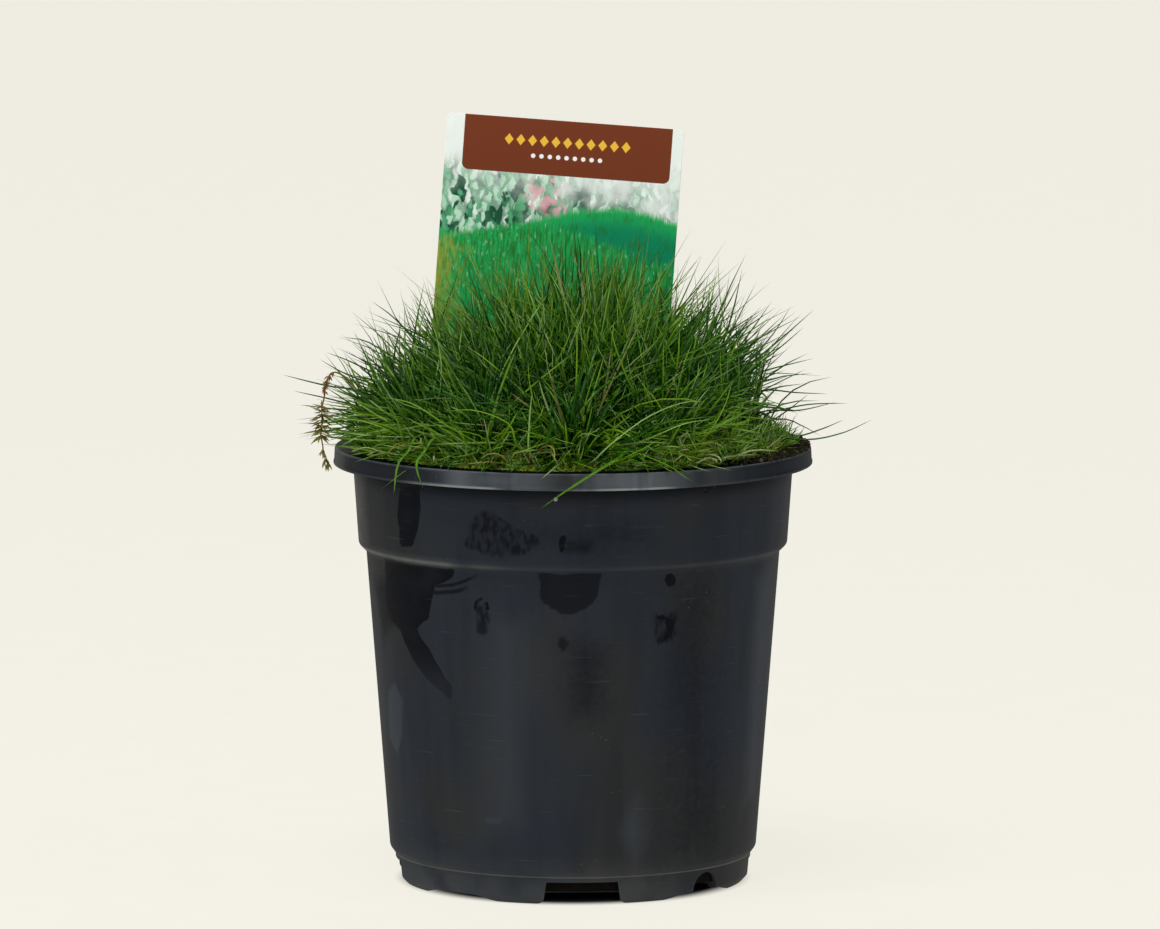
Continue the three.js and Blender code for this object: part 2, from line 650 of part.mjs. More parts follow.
/** One leaf of a tuft: its root lies on a spiral in the sheaths and it fans out from the tuft's axis. */
function drawLeaf(tuft, index) {
  const { random } = tuft;
  const share = Math.sqrt((index + 0.5) / tuft.leaves);
  const turn = index * GOLDEN_ANGLE + tuft.foot.x;
  const side = new THREE.Vector3(Math.cos(turn), Math.sin(turn), 0);
  side.applyQuaternion(new THREE.Quaternion().setFromUnitVectors(UP, tuft.axis));
  const wobble = () => THREE.MathUtils.degToRad(TURN_SPREAD_DEG) * (random() * 2 - 1);
  const fan = THREE.MathUtils.degToRad(tuft.fanDeg) * share + wobble();
  const direction = tuft.axis.clone().multiplyScalar(Math.cos(fan)).addScaledVector(side, Math.sin(fan));
  const cross = new THREE.Vector3().crossVectors(direction, side).normalize();
  direction.addScaledVector(cross, Math.tan(wobble())).normalize();
  if (direction.z < LOWEST_RISE) direction.setZ(LOWEST_RISE).normalize();
  const root = tuft.foot.clone().addScaledVector(tuft.stem, tuft.bundle.rootHeight);
  root.addScaledVector(side, tuft.bundle.rootDisc * share);
  const length = domeReach(root, direction) * THREE.MathUtils.lerp(REACH_LEAST, REACH_MOST, random());
  const tip = root.clone().addScaledVector(direction, length);
  const level = Math.hypot(direction.x, direction.y);
  tip.z -= length * level * THREE.MathUtils.lerp(SAG_LEAST, SAG_MOST, random());
  const bend = root.clone().addScaledVector(direction, length / 2);
  bend.addScaledVector(cross, length * SIDE_CURL * (random() * 2 - 1));
  return new THREE.QuadraticBezierCurve3(root, bend, tip);
}

/** Grows a tuft's leaves one by one, drawing each again until it is clear of all that is placed. */
function growTuft(tuft) {
  const leaves = [];
  for (let index = 0; index < tuft.leaves; index++) {
    for (let attempt = 0; attempt < TRIES; attempt++) {
      const curve = drawLeaf(tuft, index);
      const points = curve.getSpacedPoints(BLADE_SPANS);
      const buried = (tuft.bundle.top - tuft.bundle.rootHeight) / points[0].distanceTo(points[1]);
      const emerging = points[0].clone().lerp(points[1], Math.min(buried, BLADE_BURIED_MOST));
      const chain = obstacle([emerging, ...points.slice(1)], BLADE_ROOM);
      if (hitsFixture(points) || !isClear(chain, tuft)) continue;
      placed.push(chain);
      leaves.push(bladeSolid(curve, BLADE_SPANS));
      break;
    }
  }
  for (const curve of tuft.longLeaves) leaves.push(bladeSolid(curve, LONG_BLADE_SPANS));
  return joined([bundleSolid(tuft), ...leaves]);
}

/** The tuft that stands nearest to a place. */
function nearestTuft(tufts, [x, y]) {
  const distance = (tuft) => Math.hypot(tuft.foot.x - x, tuft.foot.y - y);
  return tufts.reduce((best, tuft) => (distance(tuft) < distance(best) ? tuft : best));
}

/** Gives each long leaf to the tuft nearest to its start, rooted in that tuft's sheaths. */
function addLongLeaves(tufts) {
  for (const places of LONG_LEAVES) {
    const tuft = nearestTuft(tufts, places[0]);
    const root = tuft.foot.clone().addScaledVector(tuft.stem, tuft.bundle.rootHeight);
    const route = [root, ...places.map((place) => new THREE.Vector3(...place))];
    const curve = new THREE.CatmullRomCurve3(route, false, "centripetal");
    placed.push(obstacle(curve.getSpacedPoints(LONG_BLADE_SPANS), BLADE_ROOM));
    tuft.longLeaves.push(curve);
  }
}

// The label's own frame: x across, y up from the middle of the top edge, z towards the front.
const labelFrame = new THREE.Group();
labelFrame.position.copy(LABEL_TOP_CENTRE);
labelFrame.rotation.order = "ZYX";
labelFrame.rotation.set(
  Math.PI / 2 + THREE.MathUtils.degToRad(LABEL_LEAN_DEG),
  THREE.MathUtils.degToRad(LABEL_ROLL_DEG),
  THREE.MathUtils.degToRad(LABEL_YAW_DEG),
);
labelFrame.updateMatrixWorld(true);

/** The label's outline, grown by a margin: card, shoulders, stake and point. */
function labelOutline(margin = 0) {
  const half = LABEL_WIDTH / 2 + margin;
  const stake = LABEL_STAKE_HALF_WIDTH + margin;
  const cardFoot = -LABEL_CARD - margin;
  const neck = cardFoot - LABEL_SHOULDER;
  const pointTop = neck - LABEL_STAKE_LENGTH;
  const pointHalf = stake * LABEL_STAKE_TAPER;
  const shoulder = half - LABEL_SHOULDER_INSET;
  const shoulderFoot = cardFoot - LABEL_SHOULDER_FALL;
  const bend = stake + LABEL_NECK_FLARE;
  const bendFoot = cardFoot - LABEL_NECK_BEND;
  const outline = new THREE.Shape();
  outline.moveTo(-half + LABEL_CORNER, 0);
  outline.quadraticCurveTo(-half, 0, -half, -LABEL_CORNER);
  outline.lineTo(-half, cardFoot + LABEL_CORNER);
  outline.quadraticCurveTo(-half, cardFoot, -shoulder, shoulderFoot);
  outline.quadraticCurveTo(-bend, bendFoot, -stake, neck);
  outline.lineTo(-pointHalf, pointTop);
  outline.lineTo(0, pointTop - LABEL_POINT);
  outline.lineTo(pointHalf, pointTop);
  outline.lineTo(stake, neck);
  outline.quadraticCurveTo(bend, bendFoot, shoulder, shoulderFoot);
  outline.quadraticCurveTo(half, cardFoot, half, cardFoot + LABEL_CORNER);
  outline.lineTo(half, -LABEL_CORNER);
  outline.quadraticCurveTo(half, 0, half - LABEL_CORNER, 0);
  return outline;
}

/** The label, or a grown copy of it that cuts its slot in the compost. */
function labelSolid(margin = 0) {
  const depth = LABEL_THICKNESS + 2 * margin;
  const settings = { depth, bevelEnabled: false, curveSegments: LABEL_CURVE_STEPS };
  const card = new THREE.ExtrudeGeometry(labelOutline(margin), settings);
  card.translate(0, 0, -depth / 2);
  return toSolid(card.applyMatrix4(labelFrame.matrixWorld));
}

/** Where a straw stool stands on the compost. */
function stoolFoot({ aroundDeg }) {
  const around = THREE.MathUtils.degToRad(aroundDeg);
  const foot = new THREE.Vector3(Math.cos(around), Math.sin(around), 0);
  return foot.multiplyScalar(STOOL_RING).setZ(compostHeight(STOOL_RING));
}

/** One bleached leaf of a stool: it rises a little and lies over towards the rim. */
function drawStraw(stool, index, random) {
  const foot = stoolFoot(stool);
  const wobble = (random() - 0.5) * STRAW_TURN_SPREAD_DEG;
  const spread = (index / (stool.leaves - 1) - 0.5) * STRAW_FAN_DEG + wobble;
  const heading = THREE.MathUtils.degToRad(stool.aroundDeg + spread);
  const out = new THREE.Vector3(Math.cos(heading), Math.sin(heading), 0);
  const length = STRAW_LENGTH.least + STRAW_LENGTH.spread * random();
  const rise = STRAW_RISE.least + STRAW_RISE.spread * random();
  const along = (distance, height) => foot.clone().addScaledVector(out, distance).setZ(foot.z + height);
  return new THREE.QuadraticBezierCurve3(
    along(STOOL_RADIUS * STRAW_ROOT_OUT, STOOL_HEIGHT * STRAW_ROOT_UP),
    along(length * STRAW_BEND_OUT, STOOL_HEIGHT + rise),
    along(length, STOOL_HEIGHT + rise * STRAW_TIP_UP),
  );
}

/** One stool of straw: a short stub with a few bleached leaves. */
function strawSolid(stool, random) {
  const height = STOOL_DEPTH + STOOL_HEIGHT;
  const stub = new THREE.CylinderGeometry(STOOL_RADIUS * STOOL_TAPER, STOOL_RADIUS, height, STOOL_SIDES);
  stub.rotateX(Math.PI / 2).translate(0, 0, (STOOL_HEIGHT - STOOL_DEPTH) / 2);
  const pieces = [toSolid(stood(stub, UP, stoolFoot(stool)))];
  for (let index = 0; index < stool.leaves; index++) {
    for (let attempt = 0; attempt < TRIES; attempt++) {
      const curve = drawStraw(stool, index, random);
      const points = curve.getSpacedPoints(STRAW_SPANS);
      const free = points.slice(1);
      if (hitsFixture(free) || !isClear(obstacle(free, BLADE_ROOM), stool)) continue;
      placed.push(obstacle(points, BLADE_ROOM, stool));
      pieces.push(bladeSolid(curve, STRAW_SPANS, STRAW_RADIUS));
      break;
    }
  }
  return joined(pieces);
}

/** The weed shoot: a thin stem with whorls of pointed leaves on the side away from the pot. */
function shootSolid() {
  const curve = new THREE.CatmullRomCurve3(SHOOT_ROUTE.map((place) => new THREE.Vector3(...place)));
  const section = new THREE.Shape().absarc(0, 0, SHOOT_RADIUS, 0, 2 * Math.PI, false);
  const settings = { steps: SHOOT_SPANS, extrudePath: curve, curveSegments: SHOOT_CURVE_STEPS };
  const stem = new THREE.ExtrudeGeometry(section, settings);
  const pieces = [toSolid(stem)];
  const [lastX, lastY] = SHOOT_ROUTE.at(-1);
  const away = Math.atan2(lastY, lastX);
  WHORLS.forEach(({ at, length }, whorl) => {
    const middle = curve.getPointAt(at);
    for (let i = 0; i < WHORL_LEAVES; i++) {
      const stagger = whorl % 2 ? WHORL_STAGGER_DEG : -WHORL_STAGGER_DEG;
      const spreadDeg = WHORL_FAN_DEG * (i / (WHORL_LEAVES - 1) - 0.5) + stagger;
      const heading = away + THREE.MathUtils.degToRad(spreadDeg);
      const tip = new THREE.Vector3(Math.cos(heading), Math.sin(heading), -WHORL_DROOP);
      tip.multiplyScalar(length).add(middle);
      pieces.push(bladeSolid(new THREE.LineCurve3(middle, tip), 1, SHOOT_LEAF_RADIUS));
    }
  });
  placed.push(obstacle(curve.getSpacedPoints(SHOOT_SPANS), SHOOT_RADIUS + SHOOT_KEEP_CLEAR));
  const hanging = SHOOT_HANGING.map((share) => curve.getPointAt(share));
  placed.push(obstacle(hanging, SHOOT_HANGING_ROOM));
  return joined(pieces);
}

/** A named mesh with its finish. */
function node(name, solid, finish) {
  const material = new THREE.MeshStandardMaterial({ ...FINISHES[finish], metalness: 0 });
  const mesh = new THREE.Mesh(toGeometry(solid), material);
  mesh.name = name;
  return mesh;
}

const plant = new THREE.Group();
plant.name = "potted_fescue";

const tufts = tussockPlan();
const shoot = shootSolid();
addLongLeaves(tufts);
for (const tuft of tufts) {
  const shoulder = tuft.foot.clone().addScaledVector(tuft.stem, tuft.bundle.top * BUNDLE_SOLID_SHARE);
  placed.push(obstacle([tuft.foot, shoulder], tuft.bundle.widest, tuft));
}
const straws = STRAW_STOOLS.map((stool, i) => strawSolid(stool, seeded(STRAW_SEED + i)));
// The low skirt grows first, because it has the least room, and the heart last.
for (const tuft of tufts.toReversed()) tuft.solid = growTuft(tuft);

let compost = compostSolid().subtract(labelSolid(LABEL_SLOT_GAP));
for (const { foot, stem, bundle } of tufts) {
  compost = compost.subtract(holeSolid(foot, stem, bundle.foot, bundle.depth));
}
for (const stool of STRAW_STOOLS) {
  compost = compost.subtract(holeSolid(stoolFoot(stool), UP, STOOL_RADIUS, STOOL_DEPTH));
}
const shootFoot = new THREE.Vector3(...SHOOT_ROUTE[0]);
shootFoot.z += SHOOT_DEPTH;
compost = compost.subtract(holeSolid(shootFoot, UP, SHOOT_RADIUS + SHOOT_HOLE_ROOM, SHOOT_DEPTH));

plant.add(node("pot", potSolid(), "pot"));
plant.add(node("compost", compost, "compost"));
for (const { name, solid } of tufts) plant.add(node(name, solid, "leaf"));
straws.forEach((solid, i) => plant.add(node(`straw_${i + 1}`, solid, "straw")));
plant.add(node("weed_shoot", shoot, "shoot"));
plant.add(node("plant_label", labelSolid(), "label"));

export default plant;
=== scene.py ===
"""The looks of a potted bearskin fescue: a dense tussock of needle leaves in a black nursery pot.

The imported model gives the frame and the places. Each sub-assembly below is a class that works out its
surfaces with numpy, in metres, in the model's own frame: +Z up, the front towards -Y.
"""

import logging
import math
from dataclasses import dataclass, field
from enum import Enum

import bpy
import numpy as np
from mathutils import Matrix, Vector
from numpy.typing import ArrayLike


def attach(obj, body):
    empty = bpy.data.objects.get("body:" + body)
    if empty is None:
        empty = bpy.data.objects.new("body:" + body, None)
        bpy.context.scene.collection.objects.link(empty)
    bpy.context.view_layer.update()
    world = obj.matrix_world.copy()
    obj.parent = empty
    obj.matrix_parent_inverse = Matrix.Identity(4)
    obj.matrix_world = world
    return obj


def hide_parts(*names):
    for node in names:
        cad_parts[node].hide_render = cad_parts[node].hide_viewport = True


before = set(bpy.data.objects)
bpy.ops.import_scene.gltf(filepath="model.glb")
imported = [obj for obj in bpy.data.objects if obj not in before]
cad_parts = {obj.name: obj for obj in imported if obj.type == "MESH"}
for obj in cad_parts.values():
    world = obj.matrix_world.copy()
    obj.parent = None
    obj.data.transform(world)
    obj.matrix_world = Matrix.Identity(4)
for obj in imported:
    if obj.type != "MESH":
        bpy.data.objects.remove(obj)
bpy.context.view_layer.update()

UP = np.array([0.0, 0.0, 1.0])
# The turn from one leaf to the next round a stem, in radians.
GOLDEN_TURN = 2.399
Array = np.ndarray
Material = bpy.types.Material
Piece = bpy.types.Object
Socket = bpy.types.NodeSocket
Feed = Socket | float | tuple
Colour = tuple[float, float, float]
Rows = tuple[tuple[float, ...], ...]
log = logging.getLogger("fescue")


# Arrays and meshes


def unit(vectors: Array) -> Array:
    """Vectors divided by their own length, which is kept off zero."""
    return vectors / np.maximum(np.linalg.norm(vectors, axis=-1, keepdims=True), 1e-12)


def ease(value: Array, low: float, high: float) -> Array:
    """A smooth step from 0 at low to 1 at high: three times the square less twice the cube of the share."""
    share = np.clip((value - low) / (high - low), 0.0, 1.0)
    return share * share * (3.0 - 2.0 * share)


def stretch(value: Array, rise: tuple[float, float], fall: tuple[float, float]) -> Array:
    """1 along a stretch of values: a smooth step up over its rise, times one down over its fall."""
    return ease(value, *rise) * (1.0 - ease(value, *fall))


def bell(away: Array, spread: float) -> Array:
    """1 where away is 0 and less on both sides: e to the minus square of away over spread."""
    return np.exp(-((away / spread) ** 2))


def turn_from(side: float, degrees: Array) -> Array:
    """The turn from a side to directions, in degrees, the short way round."""
    return (degrees - side + 180) % 360 - 180


def towards(sides: Rows, degrees: Array) -> Array:
    """The sum of bells round sides, each given as its direction, spread and height."""
    return sum(height * bell(turn_from(side, degrees), spread) for side, spread, height in sides)


def from_axis(places: Array) -> Array:
    """How far places lie from the vertical axis."""
    return np.hypot(places[..., 0], places[..., 1])


def parabola(start: ArrayLike, bend: ArrayLike, stop: ArrayLike, count: int) -> Array:
    """Points of an arc from start to stop that is pulled towards bend: a parabola's three weights."""
    share, (start, bend, stop) = np.linspace(0, 1, count)[:, None], np.array([start, bend, stop], float)
    return (1 - share) ** 2 * start + 2 * share * (1 - share) * bend + share**2 * stop


def around(angle: Array) -> Array:
    """Level unit vectors at angles in radians from +X towards +Y."""
    angle = np.asarray(angle, float)
    return np.stack([np.cos(angle), np.sin(angle), np.zeros_like(angle)], axis=-1)


def waves(x: Array, y: Array, length: float, seed: int) -> Array:
    """A smooth random relief from -1 to 1: the mean of sine waves of random heading, phase and length.

    Args:
        x, y: Places in metres, in two arrays of one shape.
        length: The middle wavelength in metres.
        seed: Picks the waves.

    Returns:
        The relief at each place.
    """
    count = 14
    draw = np.random.default_rng(seed)
    heading, phase = draw.uniform(0, 2 * np.pi, (2, count))
    pitch = 2 * np.pi / (length * draw.uniform(0.5, 1.8, count))
    across = x[..., None] * np.cos(heading) + y[..., None] * np.sin(heading)
    return np.sin(across * pitch + phase).mean(axis=-1) * math.sqrt(count) / 1.6


def bezier(corners: list[Array], share: Array) -> Array:
    """Cubic curves: each corner weighted by its Bernstein polynomial of the share along the curve.

    Args:
        corners: Four arrays of shape (N, 3).
        share: Shares from 0 to 1, of shape (S,).

    Returns:
        Points of shape (N, S, 3).
    """
    rest = 1.0 - share
    weights = (rest**3, 3 * rest**2 * share, 3 * rest * share**2, share**3)
    return sum(corner[:, None, :] * weight[None, :, None] for corner, weight in zip(corners, weights))


def smooth_route(places: Array, count: int) -> Array:
    """A curve through places, with cubic pieces whose slopes are half the step between the neighbours.

    Args:
        places: Points to pass through, of shape (P, 3).
        count: How many stations to return, evenly spread by length.

    Returns:
        Stations of shape (count, 3).
    """
    places = np.asarray(places, float)
    slopes = np.gradient(places, axis=0)
    share = np.linspace(0, 1, 12, endpoint=False)[None, :, None]
    start, end = places[:-1, None], places[1:, None]
    leave, arrive = slopes[:-1, None], slopes[1:, None]
    fine = (
        start * (2 * share**3 - 3 * share**2 + 1)
        + leave * (share**3 - 2 * share**2 + share)
        + end * (3 * share**2 - 2 * share**3)
        + arrive * (share**3 - share**2)
    )
    fine = np.vstack([fine.reshape(-1, 3), places[-1:]])
    run = np.concatenate([[0], np.cumsum(np.linalg.norm(np.diff(fine, axis=0), axis=1))])
    wanted = np.linspace(0, run[-1], count)
    return np.stack([np.interp(wanted, run, fine[:, axis]) for axis in range(3)], axis=-1)


@dataclass
class Surface:
    """Points, the polygons that join them, and named numbers at the points."""

    points: Array
    polygons: list[Array]
    numbers: dict[str, Array] = field(default_factory=dict)

    @staticmethod
    def joined(parts: list["Surface"]) -> "Surface":
        """All the parts as one surface; each part's polygons are moved on by the points before it.

        Args:
            parts: Surfaces with the same numbers.

        Returns:
            The joined surface.
        """
        starts = np.cumsum([0] + [len(part.points) for part in parts])
        polygons = [p + start for part, start in zip(parts, starts) for p in part.polygons]
        names = parts[0].numbers
        numbers = {name: np.concatenate([part.numbers[name] for part in parts]) for name in names}
        return Surface(np.concatenate([part.points for part in parts]), polygons, numbers)

    def numbered(self, count: int, **numbers: ArrayLike) -> "Surface":
        """Stores numbers at the points of like parts, each given once a part or once for all.

        Args:
            count: How many parts the surface has, all of as many points.
            numbers: The values by name.

        Returns:
            The same surface.
        """
        for name, values in numbers.items():
            self.numbers[name] = np.repeat(np.broadcast_to(values, count), len(self.points) // count)
        return self

    def to_object(self, name: str, finish: Material, smooth: bool = True) -> Piece:
        """Puts the surface into a mesh object at the origin.

        Args:
            name: The piece's name.
            finish: Its material.
            smooth: Whether its faces are shaded smooth.

        Returns:
            The new object, linked to the scene.
        """
        mesh = bpy.data.meshes.new(name)
        mesh.vertices.add(len(self.points))
        mesh.vertices.foreach_set("co", self.points.astype(np.float32).ravel())
        sizes = np.concatenate([np.full(len(p), p.shape[1]) for p in self.polygons])
        corners = np.concatenate([p.ravel() for p in self.polygons]).astype(np.int32)
        mesh.loops.add(len(corners))
        mesh.loops.foreach_set("vertex_index", corners)
        mesh.polygons.add(len(sizes))
        mesh.polygons.foreach_set("loop_start", (np.cumsum(sizes) - sizes).astype(np.int32))
        mesh.polygons.foreach_set("use_smooth", np.full(len(sizes), smooth))
        mesh.update(calc_edges=True)
        for key, values in self.numbers.items():
            add_number(mesh, key, values)
        mesh.materials.append(finish)
        piece = bpy.data.objects.new(name, mesh)
        bpy.context.scene.collection.objects.link(piece)
        return piece


def add_number(mesh: bpy.types.Mesh, name: str, values: Array) -> None:
    """Stores a number, or a vector of three, at each vertex.

    Args:
        mesh: The mesh.
        name: What materials call the number.
        values: One row a vertex.
    """
    is_vector = values.ndim == 2
    layer = mesh.attributes.new(name, "FLOAT_VECTOR" if is_vector else "FLOAT", "POINT")
    layer.data.foreach_set("vector" if is_vector else "value", values.astype(np.float32).ravel())


def vertex_places(mesh: bpy.types.Mesh) -> Array:
    """Reads the places of a mesh's vertices.

    Args:
        mesh: The mesh.

    Returns:
        Places of shape (N, 3).
    """
    places = np.zeros(len(mesh.vertices) * 3, np.float32)
    mesh.vertices.foreach_get("co", places)
    return places.reshape(-1, 3).astype(float)


def ring_quads(rows: int, columns: int) -> Array:
    """The quads between closed rows of points, numbered row by row.

    Args:
        rows: How many rows there are.
        columns: How many points each has.

    Returns:
        Corners of shape (quads, 4).
    """
    start = np.arange(rows - 1)[:, None] * columns
    here, after = start + np.arange(columns), start + (np.arange(columns) + 1) % columns
    return np.stack([here, after, after + columns, here + columns], axis=-1).reshape(-1, 4)


def fan(start: int, columns: int, pole: int) -> Array:
    """The triangles from a closed row of points, by its first number, up to a pole."""
    here = np.arange(columns)
    return np.stack([start + here, start + (here + 1) % columns, np.full(columns, pole)], axis=-1)


def closed_rings(rows: int, columns: int) -> list[Array]:
    """The polygons of a closed body: rows of points, then a pole below them and one above."""
    size = rows * columns
    return [ring_quads(rows, columns), fan(0, columns, size)[:, ::-1], fan(size - columns, columns, size + 1)]


def repeated(polygons: list[Array], count: int, step: int) -> list[Array]:
    """One part's polygons for each of count parts, which have step points each."""
    starts = np.arange(count)[:, None, None] * step
    return [(part + starts).reshape(-1, part.shape[1]) for part in polygons]


def sweep(routes: Array, widths: Array, section: Array, facing: Array) -> Surface:
    """Carries one section along many routes, closed flat at the root and drawn to a point at the tip.

    The side of each station is across its facing and its tangent, and the third axis is across the
    tangent and the side, so that the section turns with the route without twisting.

    Args:
        routes: Stations of shape (N, S, 3).
        widths: Half widths of shape (N, S); the last station is the tip, whose width isn't used.
        section: The section's corners, counter-clockwise, of shape (K, 2), in half widths.
        facing: The direction that each section's second axis looks away from, of shape (N, 3).

    Returns:
        The surface, with the number "along" from 0 at the roots to 1 at the tips.
    """
    count, stations = routes.shape[:2]
    corners = len(section)
    tangent = unit(np.gradient(routes, axis=1))
    side = unit(np.cross(facing[:, None, :], tangent))
    normal = np.cross(tangent, side)
    flat = section[:, 0][:, None] * side[:, :, None, :] + section[:, 1][:, None] * normal[:, :, None, :]
    rings = routes[:, :, None, :] + widths[:, :, None, None] * flat
    body = rings[:, :-1].reshape(count, -1, 3)
    points = np.concatenate([body, routes[:, -1:]], axis=1)
    tip = (stations - 1) * corners
    root = np.arange(corners)[None, ::-1]
    polygons = [ring_quads(stations - 1, corners), fan(tip - corners, corners, tip), root]
    along = np.append(np.repeat(np.linspace(0, 1, stations)[:-1], corners), 1.0)
    swept = Surface(points.reshape(-1, 3), repeated(polygons, count, tip + 1))
    swept.numbers["along"] = np.tile(along, count)
    return swept


def round_section(corners: int) -> Array:
    """A regular polygon of unit radius, counter-clockwise."""
    return around(np.arange(corners) * 2 * np.pi / corners)[:, :2]


def eased_profile(corners: list[tuple[float, float, float]], step: float) -> Array:
    """A profile whose corners are short parabola arcs, with its straight stretches cut into steps.

    Args:
        corners: (radius, height, length cut from both sides of the corner) of each corner.
        step: The longest stretch between two points.

    Returns:
        Points of shape (P, 2), from the first corner to the last.
    """
    places = np.array([corner[:2] for corner in corners])
    dense = [places[:1]]
    for before, corner, after, (_, _, cut) in zip(places, places[1:], places[2:], corners[1:]):
        start = corner + unit(before - corner) * cut
        end = corner + unit(after - corner) * cut
        dense.append(parabola(start, corner, end, 5))
    dense = np.vstack(dense + [places[-1:]])
    gaps = np.linalg.norm(np.diff(dense, axis=0), axis=1)
    pieces = [
        start + (end - start) * np.linspace(0, 1, max(1, math.ceil(gap / step)), endpoint=False)[:, None]
        for start, end, gap in zip(dense, dense[1:], gaps)
        if gap > 1e-7
    ]
    return np.vstack(pieces + [dense[-1:]])


def lathe(profile: Array, columns: int) -> Surface:
    """A profile turned about the vertical axis; its first and last points lie on the axis as poles.

    Args:
        profile: (radius, height) points of shape (P, 2), counter-clockwise round the wall.
        columns: How many steps go round.

    Returns:
        The closed surface.
    """
    angles = np.arange(columns) * 2 * np.pi / columns
    wall = profile[1:-1]
    rings = wall[:, None, :1] * around(angles)[None] + wall[:, None, 1:] * UP
    poles = np.array([[0, 0, profile[0, 1]], [0, 0, profile[-1, 1]]])
    return Surface(np.vstack([rings.reshape(-1, 3), poles]), closed_rings(len(wall), columns))


def prism(near: Array, far: Array) -> Surface:
    """A closed prism between two copies of an outline, counter-clockwise seen from the far end.

    Args:
        near: The first outline, of shape (P, 3).
        far: The second outline, of the same shape.

    Returns:
        The closed surface.
    """
    count = len(near)
    here = np.arange(count)
    ends = np.stack([here[::-1], here + count])
    return Surface(np.vstack([near, far]), [ring_quads(2, count), ends])


def blobs(centres: Array, sizes: Array, draw: np.random.Generator) -> Surface:
    """Small lumps: a six-sided drum between two poles for each centre, stretched and turned at random.

    Args:
        centres: Middles of shape (N, 3).
        sizes: Mean radii of shape (N,).
        draw: The seeded random numbers.

    Returns:
        The surface, with a number "tone" that is the same over each lump.
    """
    sides = 6
    ring = round_section(sides)
    body = np.vstack([np.c_[ring * 0.9, np.full(sides, -0.3)], np.c_[ring * 0.8, np.full(sides, 0.35)]])
    shape = np.vstack([body, [[0, 0, -0.8], [0, 0, 0.85]]])
    count = len(centres)
    stretch = draw.uniform(0.55, 1.25, (count, 1, 3))
    wobble = draw.uniform(0.78, 1.18, (count, len(shape), 1))
    axes = np.linalg.qr(draw.normal(size=(count, 3, 3)))[0]
    axes[np.linalg.det(axes) < 0, :, 0] *= -1
    points = np.einsum("nij,nvj->nvi", axes, shape * stretch * wobble) * sizes[:, None, None]
    polygons = repeated(closed_rings(2, sides), count, len(shape))
    lumps = Surface((points + centres[:, None]).reshape(-1, 3), polygons)
    return lumps.numbered(count, tone=draw.random(count))


def cut_from(piece: Piece, cutter: Surface) -> None:
    """Takes closed shapes out of a piece, and replaces the piece's mesh by what is left.

    Args:
        piece: The object.
        cutter: The shapes, which don't overlap.
    """
    tool = cutter.to_object("cutter", piece.data.materials[0])
    change = piece.modifiers.new("cut", "BOOLEAN")
    change.operation, change.solver, change.object = "DIFFERENCE", "EXACT", tool
    whole = piece.evaluated_get(bpy.context.evaluated_depsgraph_get())
    cut = bpy.data.meshes.new_from_object(whole)
    piece.modifiers.clear()
    piece.data = cut
    bpy.data.objects.remove(tool)


def ridden(piece: Piece, slot: str | None, *nodes: str) -> Piece:
    """Lets a piece ride on the body and stand for nodes, and reports its triangles.

    Args:
        piece: The finished object.
        slot: The record's material slot, or None; not used.
        nodes: The model's nodes that the piece stands for.

    Returns:
        The same object.
    """
    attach(piece, "root")
    if nodes:
        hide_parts(*nodes)
    log.info("%s: %d triangles", piece.name, sum(len(p.vertices) - 2 for p in piece.data.polygons))
    return piece


# Finishes


